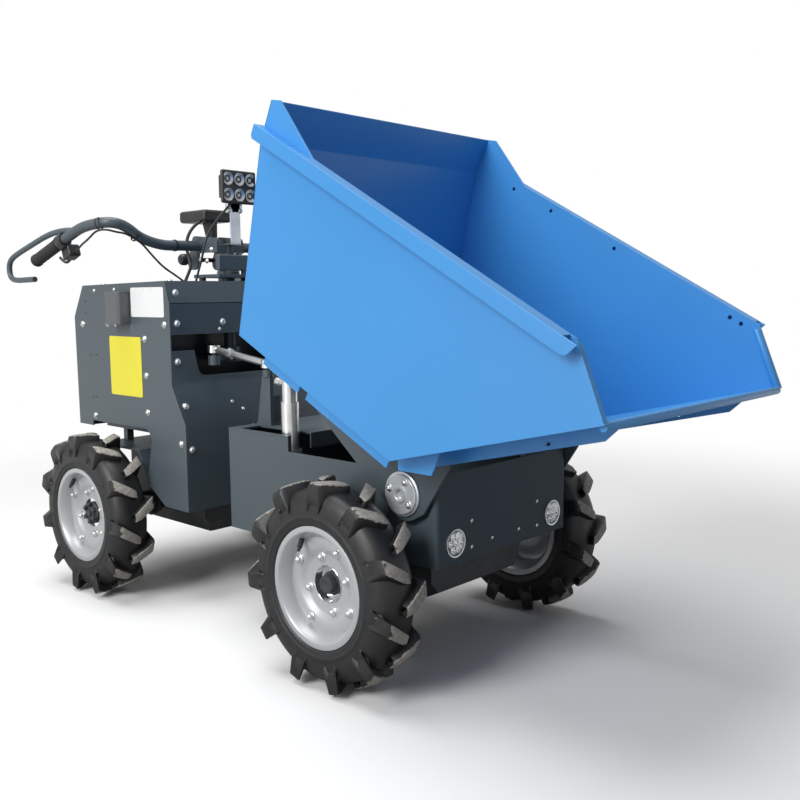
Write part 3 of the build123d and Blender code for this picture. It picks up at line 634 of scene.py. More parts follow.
rimPaint = paintFinish("rimPaint", {
    "colour": (0.49, 0.51, 0.525), "roughness": 0.36, "grainScale": 1100.0, "grainStrength": 0.08, "metallic": 0.35,
    "dust": 0.12, "dustScale": 24.0, "edgeReach": 0.56, "wornAndHighlightColour": (0.75, 0.75, 0.75),
    "dustColour": (0.36, 0.33, 0.29),
})
greyBoxPaint = paintFinish("greyBoxPaint", {
    "colour": (0.115, 0.122, 0.132), "roughness": 0.5, "grainScale": 900.0, "grainStrength": 0.1,
    "dust": 0.1, "wornAndHighlightColour": (0.25, 0.26, 0.28),
})
zincPlate = metalFinish("zincPlate", {"colour": (0.86, 0.87, 0.86), "roughness": 0.30, "grainScale": 260.0})
spangledZinc = paintFinish("spangledZinc", {
    "colour": (0.64, 0.67, 0.69), "roughness": 0.30, "grainScale": 240.0, "grainStrength": 0.2, "metallic": 0.4,
    "dust": 0.05, "dustScale": 20.0, "edgeReach": 0.56, "wornAndHighlightColour": (0.7, 0.7, 0.7), "driftScale": 60.0,
})
hardChrome = metalFinish("hardChrome", {
    "colour": (0.82, 0.83, 0.84), "roughness": 0.12, "grainScale": 500.0, "grainStrength": 0.01, "dust": 0.02,
})
tyreLook = {
    "grainScale": 900.0, "colour": (0.009, 0.0096, 0.0105), "paler": (0.017, 0.0175, 0.0185),
    "scuffFrom": tyreRadius - 0.0042, "scuffDark": (0.13, 0.118, 0.104), "scuffPale": (0.62, 0.58, 0.53),
}
tyreRubberFront = rubberFinish("tyreRubberFront", {**tyreLook, "centre": (frontAxleX, axleZ)})
tyreRubberRear = rubberFinish("tyreRubberRear", {**tyreLook, "centre": (rearAxleX, axleZ)})
gripRubber = plasticFinish("gripRubber", (0.018, 0.018, 0.019), 0.7, 500.0, 0.3)
blackPlastic = plasticFinish("blackPlastic", (0.022, 0.022, 0.024), 0.38)
cableSheath = plasticFinish("cableSheath", (0.014, 0.014, 0.015), 0.45, 300.0, 0.05)
yellowVinyl = plasticFinish("yellowVinyl", (0.82, 0.74, 0.035), 0.32, 300.0, 0.03, 0.015, 0.02)
whiteVinyl = plasticFinish("whiteVinyl", (0.84, 0.85, 0.85), 0.30, 300.0, 0.03, 0.01, 0.02)
ledReflector = metalFinish("ledReflector", {
    "colour": (0.62, 0.64, 0.66), "roughness": 0.42, "grainScale": 200.0, "grainStrength": 0.1, "dust": 0.05,
})
lampBowl = metalFinish("lampBowl", {
    "colour": (0.94, 0.95, 0.96), "roughness": 0.24, "grainScale": 60.0, "grainStrength": 0.02, "dust": 0.0,
})


def lensMaterial(name, tint, roughness):
    material, tree, shader = newMaterial(name, Roughness=roughness, IOR=1.49)
    shader.inputs["Transmission Weight"].default_value = 1.0
    grain = placeGroup(tree, surfaceGrain, Scale=160.0, Drift_Scale=30.0)
    tree.links.new(
        mixColours(tree, grain.outputs["Tone"], shade(tint, 0.93), tint), shader.inputs["Base Color"]
    )
    addBump(tree, shader, grain.outputs["Height"], 0.05, 0.0005)
    return material


def ledMaterial():
    material, tree, shader = newMaterial("ledChip", Roughness=0.25)
    grain = placeGroup(tree, surfaceGrain, Scale=700.0, Drift_Scale=300.0)
    chip = mixColours(tree, grain.outputs["Tone"], (0.82, 0.80, 0.55), (0.95, 0.95, 0.90))
    tree.links.new(chip, shader.inputs["Base Color"])
    return material


lampLens = lensMaterial("lampLens", (0.96, 0.97, 0.98), 0.04)
ledChip = ledMaterial()
print("finishes ready")


# Sheet metal and castings: a softened copy of each CAD node

plainNodes = {
    "body_grey": (slatePaint, 0.9, [
        "rear_side_right", "rear_side_left", "rear_back_panel", "rear_top_cover", "rear_front_upper",
        "rear_front_lower", "rear_floor", "battery_tray", "pivot_clevis", "front_chassis",
        "front_deck", "pivot_tongue", "cylinder_cradle", "tip_arms", "steering_column",
    ]),
    "casing_black": (casingPaint, 3.0, ["rear_gearbox", "front_gearbox"]),
    "zinc": (zincPlate, 0.6, ["tie_rod"]),
    "black_plastic": (blackPlastic, 1.6, ["battery_pack"]),
    "plain_grey_plastic": (greyBoxPaint, 1.5, ["service_box"]),
}
tubeNodes = {
    "casing_black": (casingPaint, ["rear_axle", "front_axle"]),
    "zinc": (zincPlate, ["cylinder_barrel", "cylinder_sleeve"]),
}


def camelName(node):
    first, *rest = node.split("_")
    return first + "".join(word.capitalize() for word in rest)


def softenedCopy(node, edgeWidth):
    source = frame["nodes"][node]
    twin = source.copy()
    twin.data = source.data.copy()
    for key in list(twin.keys()):
        del twin[key]
    twin.parent = None
    twin.name = camelName(node)
    twin.data.name = twin.name
    bpy.context.collection.objects.link(twin)
    makeActive(twin)
    editAll()
    bpy.ops.mesh.customdata_custom_splitnormals_clear()
    bpy.ops.mesh.remove_doubles(threshold=0.00001)
    bpy.ops.mesh.dissolve_limited(angle_limit=radians(0.4))
    leaveEdit()
    if edgeWidth:
        softenEdges(twin, edgeWidth * mm, 2, 34)
    smoothBy(twin, 48)
    keepFlatsFlat(twin)
    return twin


def dressPlainNodes():
    for slot, (material, edgeWidth, nodes) in plainNodes.items():
        for node in nodes:
            finishPiece(softenedCopy(node, edgeWidth), body_of(frame["nodes"][node])[0], material, [node])
        print("softened", slot)
    finishPiece(softenedCopy("front_bumper", 0.9), "front", bumperPaint, ["front_bumper"])
    for slot, (material, nodes) in tubeNodes.items():
        for node in nodes:
            finishPiece(softenedCopy(node, 0), body_of(frame["nodes"][node])[0], material, [node])


dressPlainNodes()
finishPiece(softenedCopy("cylinder_ram", 0), "cylinder_ram", hardChrome, ["cylinder_ram"])
print("sheet metal dressed")


# Wheels

tyreShape = {"sides": 88, "lugs": 11, "frontTurn": -14.8, "rearTurn": -22.0, "barWall": 0.009, "barEdge": 0.0016}
rimShape = {"sides": 96, "boltCircle": 55.0, "outerCircle": 82.0}


def tyreCarcass(name):
    outer = [
        (193.5, 0), (193, 12), (191.5, 24), (187.5, 33), (180, 40), (171, 44.6), (160, 47.4), (149, 48.4),
        (141.4, 48.2), (139.8, 49.2), (137.2, 49.2), (135.6, 48.0), (129, 47.6), (126.5, 47.2), (124.5, 46.2),
        (122.6, 43.4),
    ]
    inner = [(118.5, 40.5), (114.5, 38.5)]
    side = outer + inner
    profile = side + [(radius, -along) for radius, along in reversed(side[1:])]
    carcass = spinProfile(name, profile, tyreShape["sides"])
    smoothBy(carcass, 60)
    return carcass


def treadBar(side):
    # one bar at the top of the wheel: a block drawn out along the slant, its foot flared down the shoulder
    deselectAll()
    bpy.ops.mesh.primitive_grid_add(x_subdivisions=8, y_subdivisions=3, size=2)
    bar = bpy.context.active_object
    bar.name = "treadBar"
    # stations across the tyre: distance from the middle, slant, top half width, top radius, base half width, base
    stations = [
        (-7, -5, 9, 207.4, 13, 189), (5, 1, 11.5, 209.8, 15, 189), (18, 9, 12.5, 210.0, 16, 188),
        (30, 17, 13, 209.7, 17, 185), (41, 24.5, 14, 208.8, 20, 179), (48.6, 29, 14.0, 206.6, 24, 168),
        (51.7, 32, 14.5, 197, 24, 159), (50.6, 33, 15, 176, 21, 153), (45.0, 34, 11, 158, 15, 147),
    ]
    makeActive(bar)
    for vertex in bar.data.vertices:
        column = round((vertex.co.x + 1) / 2 * 8)
        row = round((vertex.co.y + 1) / 2 * 3)
        along, slant, topHalf, topRadius, baseHalf, baseRadius = stations[column]
        across = (-baseHalf, -topHalf, topHalf, baseHalf)[row]
        height = (baseRadius, topRadius, topRadius, baseRadius)[row]
        forward = -(slant + across)
        # the bar follows the curve of the tread
        turn = forward / tyreRadius * mm
        vertex.co = (sin(turn) * height * mm, side * along * mm, cos(turn) * height * mm)
    editAll()
    bpy.ops.mesh.normals_make_consistent(inside=False)
    leaveEdit()
    downwards = sum(face.normal.z * face.area for face in bar.data.polygons) < 0
    if downwards:
        editAll()
        bpy.ops.mesh.flip_normals()
        leaveEdit()
    thicken = bar.modifiers.new("body", "SOLIDIFY")
    thicken.thickness = tyreShape["barWall"]
    thicken.offset = -1
    softness = bar.modifiers.new("softEdge", "BEVEL")
    softness.width = tyreShape["barEdge"]
    softness.segments = 2
    softness.limit_method = "ANGLE"
    softness.angle_limit = radians(30)
    applyModifiers(bar)
    smoothBy(bar, 40)
    return bar


def makeTyre(node, body, centreX, centreY, firstTurn, material):
    carcass = tyreCarcass("carcass")
    parts = [carcass]
    for side in (1, -1):
        bar = treadBar(side)
        for index in range(tyreShape["lugs"]):
            turn = (index + (0.25 if side > 0 else 0.75)) * 2 * pi / tyreShape["lugs"] + radians(firstTurn)
            parts.append(copyAt(bar, Matrix.Rotation(turn, 4, "Y")))
        dropPiece(bar)
    for part in parts:
        applyPlace(part)
    tyre = joinPieces(parts, camelName(node))
    tyre.matrix_world = Matrix.Translation((centreX, centreY, axleZ))
    return finishPiece(tyre, body, material, [node])


def makeRim(node, body, centreX, centreY, outward):
    half = 46.0
    barrel = [
        (112, -half + 6), (121.5, -half + 4.5), (122, -half + 2), (121.5, -half), (111, -half + 0.5),
        (108, -half + 3), (104, -half + 12), (97, -half + 24), (96.5, half - 26), (103, half - 13),
        (108, half - 3), (111, half - 0.5), (119.5, half), (121.6, half - 0.8), (122, half - 2.4), (121, half - 4.4),
        (112, half - 6), (107, half - 14), (100.5, half - 25), (100.5, -half + 25), (107, -half + 13),
    ]
    disc = [
        (37.6, 6), (60, 6), (66, 7), (72, 12.5), (78, 15.5), (90, 16.2), (98, 14),
        (98, 19), (90, 21.2), (76, 20.6), (69, 17.6), (63, 12.2), (58, 11), (37.6, 11),
    ]
    pieces = [spinProfile("barrel", barrel, rimShape["sides"]), spinProfile("disc", disc, rimShape["sides"])]
    for piece in pieces:
        smoothBy(piece, 35)
    rim = joinPieces(pieces, camelName(node))
    flip = Matrix.Identity(4) if outward > 0 else Matrix.Rotation(pi, 4, "Z")
    rim.matrix_world = Matrix.Translation((centreX, centreY, axleZ)) @ flip
    return finishPiece(rim, body, rimPaint, [node])


def makeHub(name, body, centreX, centreY, outward, front):
    flip = Matrix.Identity(4) if outward > 0 else Matrix.Rotation(pi, 4, "Z")
    place = Matrix.Translation((centreX, centreY, axleZ)) @ flip
    parts = []
    if front:
        # bright ring round a black cap
        ring = spinProfile("hubRing", [
            (20, -9), (39.6, -9), (39.6, 5), (37.4, 5.6), (37.4, 11.4), (38.4, 12.2), (37.6, 12.8), (36.6, 12.2),
            (35.6, 6), (34.4, -4), (31, -7), (20, -7),
        ], 72)
        smoothBy(ring, 40)
        ring.matrix_world = place
        ring.name = name + "Ring"
        finishPiece(ring, body, hardChrome)
        cap = spinProfile("hubCap", [
            (0, -8), (24, -8), (24, 1), (22.5, 3), (20.5, 3.6), (20, 9), (18.8, 15), (17.2, 18.2), (11, 19.6),
            (8, 18.6),
            (0, 18.4),
        ], 48)
        smoothBy(cap, 35)
        parts.append(cap)
    else:
        # black hub with six castellations
        base = spinProfile("hubCap", [
            (0, 2), (29, 2), (29, 11), (27, 13), (19, 13.5), (17, 17), (9, 18), (8, 23), (0, 23.4),
        ], 48)
        smoothBy(base, 35)
        parts.append(base)
        for index in range(6):
            turn = index * pi / 3
            block = roundedBlock("tooth", (-0.0055, 0.010, 0.0185), (0.0055, 0.0235, 0.0275), 0.001, 2)
            block.matrix_world = Matrix.Rotation(turn, 4, "Y")
            applyPlace(block)
            parts.append(block)
    cap = joinPieces(parts, name)
    cap.matrix_world = place
    return finishPiece(cap, body, casingPaint)


def wheelBolt():
    # domed nut on a washer, its axis along local Y
    nut = spinProfile("wheelNut", [
        (0, 0), (9.8, 0), (9.8, 1.4), (9.3, 1.8), (0, 1.8),
    ], 28)
    smoothBy(nut, 40)
    deselectAll()
    bpy.ops.mesh.primitive_cylinder_add(vertices=6, radius=0.0080, depth=0.0062, location=(0, 0.0048, 0))
    hexagon = bpy.context.active_object
    hexagon.rotation_euler = (pi / 2, 0, 0)
    applyPlace(hexagon)
    softenEdges(hexagon, 0.0009, 2, 40)
    smoothBy(hexagon, 30)
    deselectAll()
    bpy.ops.mesh.primitive_uv_sphere_add(segments=20, ring_count=10, radius=0.0058, location=(0, 0.0078, 0))
    tip = bpy.context.active_object
    tip.scale = (1, 0.55, 1)
    applyPlace(tip)
    smoothBy(tip, 60)
    return joinPieces([nut, hexagon, tip], "wheelNut")


def makeWheelBolts(name, body, centreX, centreY, outward):
    nut = wheelBolt()
    flip = Matrix.Identity(4) if outward > 0 else Matrix.Rotation(pi, 4, "Z")
    place = Matrix.Translation((centreX, centreY, axleZ)) @ flip
    matrices = []
    for radius, depth, start in ((rimShape["boltCircle"], 11.0, 73.5), (rimShape["outerCircle"], 20.8, 28.6)):
        for index in range(4):
            turn = radians(start) + index * pi / 2
            offset = Vector((cos(turn) * radius * mm, depth * mm, sin(turn) * radius * mm))
            matrices.append(place @ Matrix.Translation(offset))
    nuts = copiesAt(nut, matrices, name)
    dropPiece(nut)
    return finishPiece(nuts, body, zincPlate)


def makeValve(name, body, centreX, centreY, outward):
    turn = radians(57)
    foot = Vector((cos(turn) * 102, 27, sin(turn) * 102)) * mm
    tip = Vector((cos(turn) * 80, 48, sin(turn) * 80)) * mm
    sleeve = barBetween("valveSleeve", foot, foot + (tip - foot) * 0.72, 0.0052, 20, 0.0012)
    stem = barBetween("valveStem", foot + (tip - foot) * 0.6, tip, 0.0034, 16, 0.0008)
    flip = Matrix.Identity(4) if outward > 0 else Matrix.Rotation(pi, 4, "Z")
    valve = joinPieces([sleeve, stem], name)
    valve.matrix_world = Matrix.Translation((centreX, centreY, axleZ)) @ flip
    return finishPiece(valve, body, gripRubber)


def makeWheels():
    for end, centreX, rubber in (("front", frontAxleX, tyreRubberFront), ("rear", rearAxleX, tyreRubberRear)):
        for side in ("right", "left"):
            node = f"tyre_{end}_{side}"
            low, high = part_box(node)
            centreY = (low.y + high.y) / 2
            outward = 1 if centreY > 0 else -1
            body = f"wheel_{end}_{side}"
            makeTyre(node, body, centreX, centreY, tyreShape[end + "Turn"], rubber)
            makeRim(f"rim_{end}_{side}", body, centreX, centreY, outward)
            label = end + side.capitalize()
            makeHub("hub" + label.capitalize(), body, centreX, centreY, outward, end == "front")
            makeWheelBolts("wheelNuts" + label.capitalize(), body, centreX, centreY, outward)
            makeValve("valve" + label.capitalize(), body, centreX, centreY, outward)
        print("wheels done at the", end)


makeWheels()


# Bucket: folded floor and rear wall, side panels, turned-out rims and the frame under the floor

bucketShape = {
    "half": 342.0, "wall": 4.0, "rearBottom": (-249, 692), "kink": (178, 477), "lip": (613, 581),
    "frontTop": (564, 707), "rearTop": (-140, 1098), "spillTop": (-126, 1149.5), "gussetTop": (-99, 1144),
    "wallFold": (-163, 1074), "gussetEnd": 148, "edgeRadius": 8.0, "rimReach": 24.0, "rimDrop": 28.0,
    "railY": 300, "innerRailY": 238,
}


def besideRim(along, off):
    # place a distance down the sloping rim and a distance above it, seen from the side
    start, end = Vector(bucketShape["rearTop"]), Vector(bucketShape["frontTop"])
    run = (end - start).normalized()
    return tuple(start + run * along + Vector((-run.y, run.x)) * off)


def underFloor(x, depth):
    rear, kink, lip = bucketShape["rearBottom"], bucketShape["kink"], bucketShape["lip"]
    start, end = (rear, kink) if x < kink[0] else (kink, lip)
    return (x, start[1] + (end[1] - start[1]) * (x - start[0]) / (end[0] - start[0]) - depth)


def makeBucketShell():
    shape = bucketShape
    half, wall, edge = shape["half"], shape["wall"], shape["edgeRadius"]
    line = [shape["spillTop"], shape["wallFold"], shape["rearBottom"], shape["kink"], shape["lip"]]
    floor = foldedStrip("bucketFloor", line, -half, half, wall)
    outline = [
        shape["rearBottom"], shape["kink"], shape["lip"], shape["frontTop"],
        besideRim(shape["gussetEnd"], 0), shape["gussetTop"], shape["spillTop"], shape["wallFold"],
    ]
    panel = sidePlate("bucketSide", outline, half - wall, half, 0.6)
    holes = []
    for along in (120, 242, 435, 745, 772):
        x, z = besideRim(along, -18)
        holes.append(barBetween("hole", at(x, half - wall - 2, z), at(x, half + 2, z), 0.0045, 20))
    cutAway(panel, holes)
    top, foot = Vector((shape["frontTop"][0], 0, shape["frontTop"][1])), Vector((shape["lip"][0], 0, shape["lip"][1]))
    run = (foot - top).normalized()
    back = Vector((run.z, half - edge, -run.x)) + Vector((run.z, 0, -run.x)) * (edge - 2)
    roll = barBetween("rolledEdge", at(*(top + run * 8 + back)), at(*(foot - run * 3 + back)), edge * mm, 24, 0.002)
    lipX, lipZ = shape["lip"][0] - edge + 1, shape["lip"][1] - 4
    lipRoll = barBetween("lipRoll", at(lipX, -half + edge, lipZ), at(lipX, half - edge, lipZ), edge * mm, 24, 0.002)
    shell = joinPieces([floor, *bothSides(panel), *bothSides(roll), lipRoll], "bucketShell")
    finishPiece(shell, "bucket", bucketPaint, ["bucket_shell"])


def makeBucketRims():
    shape = bucketShape
    half, reach, drop = shape["half"], shape["rimReach"], shape["rimDrop"]
    length = (Vector(shape["frontTop"]) - Vector(shape["rearTop"])).length
    strip = [besideRim(-14, 0), besideRim(length - 12, 0), besideRim(length - 12, -4), besideRim(-14, -4)]
    rims = []
    # the right rim reaches a little past the panel's front corner, the left one ends at it
    for side, beyond in ((-1, 18), (1, 3)):
        end = length + beyond
        face = [
            besideRim(-14, 0), besideRim(end, 0), besideRim(end - 9, -drop + 5), besideRim(end - 19, -drop),
            besideRim(-8, -drop), besideRim(-13, -drop + 6),
        ]
        near, far = sorted((side * (half + reach - 4), side * (half + reach)))
        rims.append(sidePlate("rimFace", face, near, far, 1.4))
        near, far = sorted((side * (half - 1), side * (half + reach - 0.6)))
        rims.append(sidePlate("rimTop", strip, near, far, 1.2))
    rims = joinPieces(rims, "bucketRims")
    finishPiece(rims, "bucket", bucketPaint, ["bucket_rims"])


def makeBucketUnderframe():
    rail, inner, kink = bucketShape["railY"], bucketShape["innerRailY"], bucketShape["kink"]
    pieces = []
    for start, end in ((-205, -96), (-74, 150)):
        outline = [underFloor(start, 0), underFloor(start - 20, 49), underFloor(end - 20, 49), underFloor(end, 0)]
        pieces += bothSides(sidePlate("rail", outline, rail - 4, rail))
    toe = [underFloor(160, 0), (160, 452), (241, 452), (249, 467), underFloor(261, 0), kink]
    pieces += bothSides(sidePlate("toe", toe, rail - 4, rail))
    front = [underFloor(190, 0), underFloor(190, 28), underFloor(552, 28), underFloor(594, 0)]
    frontRail = sidePlate("frontRail", front, inner - 5, inner)
    holeX, holeZ = underFloor(446, 17)
    cutAway(frontRail, [barBetween("hole", at(holeX, inner - 8, holeZ), at(holeX, inner + 3, holeZ), 0.0046, 20)])
    pieces += bothSides(frontRail)
    crossTop = underFloor(239, 0)[1]
    pieces.append(sidePlate("crossPlate", [(237, crossTop), (241, crossTop), (241, crossTop - 26),
                                           (237, crossTop - 26)], -inner + 5, inner - 5))
    eyeX, eyeZ, eyeY = -286, 695, -178
    ear = [
        (-249, 692), (-231, 758), (eyeX - 8, eyeZ + 28), (eyeX - 18, eyeZ + 20), (eyeX - 26, eyeZ - 8),
        (eyeX - 18, eyeZ - 18), (eyeX + 6, eyeZ - 22), underFloor(-205, 0),
    ]
    for near in (eyeY - 24, eyeY + 19):
        pieces.append(sidePlate("ear", ear, near, near + 5))
    frameUnder = joinPieces(pieces, "bucketUnderframe")
    finishPiece(frameUnder, "bucket", bucketPaint, ["bucket_underframe"])


makeBucketShell()
makeBucketRims()
makeBucketUnderframe()
print("bucket done")


# Steering: bar with hand guards, grips, lever blocks, console, lamp and the head above the lid

steerShape = {"columnX": -738.0, "barX": -806.0, "barZ": 907.0, "barRadius": 13.5, "guardRadius": 7.5}
gripEnd = Vector((-1122, -346, 871))
gripRun = (gripEnd - Vector((-904, -328, 951))).normalized()


def makeHandlebar():
    x, z = steerShape["barX"], steerShape["barZ"]
    bar = routeTube("bar", withMirror([
        (x, 0, z), (x, -110, z - 1), (x, -160, z - 2), (x - 1, -222, z + 14), (x - 2, -262, z + 44),
        (x - 8, -298, z + 52), (x - 44, -313, z + 50), (x - 98, -327, z + 43), (x - 150, -332, z + 25),
        (x - 220, -339, z), tuple(gripEnd),
    ]), steerShape["barRadius"], 8)
    guard = routeTube("guard", [
        (x - 112, -328, z + 34), (x - 150, -333, z + 38), (x - 210, -339, z + 36), (x - 262, -345, z + 26),
        (x - 330, -351, z + 6), (x - 414, -359, z - 19), (x - 444, -361, z - 35), (x - 450, -361, z - 61),
        (x - 441, -360, z - 82), (x - 414, -357, z - 87), (x - 368, -352, z - 86), (x - 326, -348, z - 85),
    ], steerShape["guardRadius"], 6)
    bush = barBetween("bush", at(x, -47, z + 2), at(x, 47, z + 2), 0.016, 32, 0.001)
    finishPiece(joinPieces([bar, *bothSides(guard), bush], "handlebar"), "steering", slatePaint,
                ["handlebar"])


def makeGrips():
    profile = [(13.6, 0), (16.6, 0), (17.2, 1.5), (17.2, 5), (15.6, 6.5)]
    for index in range(9):
        foot = 14 + index * 9.6
        profile += [(15.4, foot), (16.2, foot + 1.6), (16.2, foot + 5.4), (15.4, foot + 7)]
    profile += [(15.6, 108), (17.2, 110), (17.4, 117), (16, 120), (8, 120.6), (13.6, 116)]
    grip = spinProfile("grip", profile, 32)
    smoothBy(grip, 40)
    start = gripEnd - gripRun * 118
    grip.matrix_world = alongLocalY(at(*start), gripRun)
    finishPiece(joinPieces(bothSides(grip), "handleGrips"), "steering", gripRubber, ["handle_grips"])


def makeControlBlocks():
    start = gripEnd - gripRun * 150
    ring = spinProfile("leverRing", [(13.6, 0), (18, 0), (19.5, 1.5), (19.5, 24), (18, 26), (13.6, 26)], 32)
    smoothBy(ring, 40)
    ring.matrix_world = alongLocalY(at(*start), gripRun)
    applyPlace(ring)
    middle = start + gripRun * 14 + Vector((6, 20, -28))
    body = roundedBlock("leverBody", (-0.020, -0.017, -0.016), (0.020, 0.017, 0.016), 0.005, 3)
    body.matrix_world = alongLocalY(at(*middle), Vector((0, 1, 0))) @ Matrix.Rotation(radians(-20), 4, "Y")
    applyPlace(body)
    nozzle = barBetween("cableEnd", at(*(middle + Vector((14, 0, -2)))),
                        at(*(middle + Vector((34, 0, 4)))), 0.0045, 16,
                        0.001)
    lever = routeTube("thumbLever", [
        tuple(middle + Vector((-8, 4, -14))), tuple(middle + Vector((-22, 2, -26))),
        tuple(middle + Vector((-34, -4, -24))), tuple(middle + Vector((-46, -8, -12))),
    ], 3.6, 4)
    blocks = joinPieces(bothSides(joinPieces([ring, body, nozzle, lever], "lever")), "controlBlocks")
    finishPiece(blocks, "steering", blackPlastic, ["control_blocks"])


def makeConsole():
    x, z = steerShape["barX"], steerShape["barZ"]
    pod = roundedBlock("pod", at(x - 88, -46, z + 64), at(x + 32, 46, z + 96), 0.009, 4)
    pickFaces(pod, lambda face: face.normal.z > 0.9 and face.area > 0.004)
    bpy.ops.mesh.inset(thickness=0.006, depth=-0.0012)
    leaveEdit()
    stalk = sidePlate(
        "stalk", [(x - 14, z + 14.5), (x + 12, z + 14.5), (x + 14, z + 70), (x - 34, z + 70)], -9, 9, 2.0,
    )
    strap = barBetween("strap", at(x, -11, z), at(x, 11, z), 0.0165, 32, 0.001)
    finishPiece(joinPieces([pod, stalk, strap], "console"), "steering", blackPlastic, ["console"])


def makeWorkLamp():
    front = -680.0
    rim = roundedBlock("lampFrame", at(front - 12, -54, 1012), at(front, 57, 1098), 0.008, 4)
    pickFaces(rim, lambda face: face.normal.x > 0.95 and face.area > 0.004)
    bpy.ops.mesh.inset(thickness=0.0045, depth=-0.005)
    leaveEdit()
    back = roundedBlock("lampBack", at(front - 30, -42, 1026), at(front - 11, 42, 1088), 0.004, 3)
    fins = [roundedBlock("fin", at(front - 38, y - 1.6, 1028), at(front - 29, y + 1.6, 1086), 0.0007, 2)
            for y in range(-36, 37, 9)]
    housing = joinPieces([rim, back, *fins], "workLamp")
    finishPiece(housing, "steering", blackPlastic, ["work_lamp"])
    bowl = spinProfile(
        "ledBowl", [(4, -1), (9, 0.2), (13, 2.2), (15.6, 4.4), (16.6, 4.5), (16.6, -1.6), (4, -1.6)], 28,
    )
    smoothBy(bowl, 40)
    chip = roundedBlock("chip", (-0.0044, -0.0016, -0.0044), (0.0044, 0.0012, 0.0044), 0.0010, 2)
    spots = [(y, z) for y in (-34, 2, 38) for z in (1034.5, 1075.5)]
    places = [alongLocalY(at(front - 5.4, y, z), (1, 0, 0)) for y, z in spots]
    finishPiece(copiesAt(bowl, places, "ledBowls"), "steering", ledReflector)
    finishPiece(copiesAt(chip, places, "ledChips"), "steering", ledChip)
    dropPiece(bowl)
    dropPiece(chip)
    # bent bracket that carries the lamp from the cheeks
    bracket = joinPieces([
        roundedBlock("bracketUp", at(-704, -16, 907), at(-700, 16, 1027), 0.001, 2),
        roundedBlock("bracketFoot", at(-758, -16, 906.4), at(-700, 16, 910.4), 0.001, 2),
        roundedBlock("lampStay", at(-712, -24, 990), at(-700, 24, 1016), 0.002, 2),
    ], "lampBracket")
    finishPiece(bracket, "steering", zincPlate)


def makeColumnHead():
    x = steerShape["columnX"]
    plate = roundedBlock("headPlate", at(x - 36, -86, 820), at(x + 76, 86, 829), 0.0012, 2)
    beam = roundedBlock("headBeam", at(x + 57, -84, 838), at(x + 75, 84, 879), 0.004, 3)
    cutAway(plate, [barBetween("bore", at(x, 0, 810), at(x, 0, 850), 0.0176, 32)])
    feet = [barBetween("foot", at(x + along, y, 811.5), at(x + along, y, 821), 0.009, 24, 0.001)
            for along in (-22, 62) for y in (-68, 68)]
    studs = [barBetween("stud", at(x + 66, y, 828), at(x + 66, y, 839), 0.007, 24, 0.0008) for y in (-64, 0, 64)]
    collar = spinProfile("collar", [(17.4, 0), (30, 0), (30, 9), (26, 12), (22, 12), (20, 34), (17.4, 34)], 40)
    smoothBy(collar, 35)
    collar.matrix_world = alongLocalY(at(x, 0, 828.6), (0, 0, 1))
    applyPlace(collar)
    head = joinPieces([plate, beam, *feet, *studs, collar], "columnHead")
    finishPiece(head, "rear", slatePaint, ["column_head"])


def makeClampKnob():
    x, z = -856.0, 872.0
    pin = barBetween("knobPin", at(x, -60, z), at(x, 50, z), 0.006, 20, 0.0008)
    knob = spinProfile("knob", [(0, 0), (10, 0), (14.5, 2), (16, 6), (15.4, 16), (12, 21), (6, 22.5), (0, 22.6)], 36)
    smoothBy(knob, 40)
    knob.matrix_world = alongLocalY(at(x, -50, z), (0, -1, 0))
    finishPiece(joinPieces([knob, pin], "clampKnob"), "steering", blackPlastic, ["clamp_knob"])


def makeCable(name, corners, radius, swing):
    # a short lead between two fastened ends; where it runs down to the lid it follows the steering
    cable = routeTube(name, corners, radius, 4)
    cable.data.materials.clear()
    cable.data.materials.append(cableSheath)
    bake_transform(cable, "steering", "rear", at(*swing[0]), at(*swing[1]))


def makeCables():
    makeCable("leverCable", [
        (-936, -326, 893), (-912, -328, 905), (-872, -329, 918), (-836, -327, 938), (-812, -312, 940),
        (-804, -292, 934),
        (-803, -268, 932), (-802, -244, 922), (-803, -218, 907), (-798, -196, 880), (-792, -166, 848),
        (-790, -128, 826), (-788, -104, 809),
    ], 2.6, ((-798, -200, 884), (-788, -104, 812)))
    makeCable("consoleCable", [
        (-800, -36, 974), (-802, -52, 966), (-803, -74, 944), (-802, -88, 913), (-796, -86, 878), (-786, -84, 852),
        (-782, -98, 830), (-780, -110, 809),
    ], 4.2, ((-802, -88, 905), (-780, -110, 812)))
    makeCable("lampCable", [
        (-702, -8, 1018), (-698, -22, 1006), (-700, -52, 978), (-710, -78, 940), (-712, -92, 908), (-716, -98, 872),
        (-724, -106, 836), (-728, -112, 809),
    ], 3.0, ((-712, -92, 900), (-728, -112, 812)))
    # the lead on the left of the head
    makeCable("leftLead", [
        (-806, 96, 920), (-800, 84, 906), (-790, 70, 886), (-784, 74, 862), (-782, 92, 836), (-780, 106, 809),
    ], 3.6, ((-790, 70, 888), (-780, 106, 812)))
    ties = []
    for x, y, z in ((-836, -318, 955), (-806, -236, 927), (-806, -120, 906)):
        tie = spinProfile("cableTie", [(14.0, -2.4), (15.4, -2.4), (15.4, 2.4), (14.0, 2.4)], 32)
        tie.matrix_world = alongLocalY(
            at(x, y, z), (0.94, 0.3, 0.14) if x < -820 else (0, -0.9, 0.42 if y < -200 else 0),
        )
        applyPlace(tie)
        ties.append(tie)
    finishPiece(joinPieces(ties, "cableTies"), "steering", blackPlastic)


makeCables()
makeHandlebar()
makeGrips()
makeControlBlocks()
makeConsole()
makeWorkLamp()
makeColumnHead()
makeClampKnob()
print("steering done")


# Bolts, plates, lamps and pivots

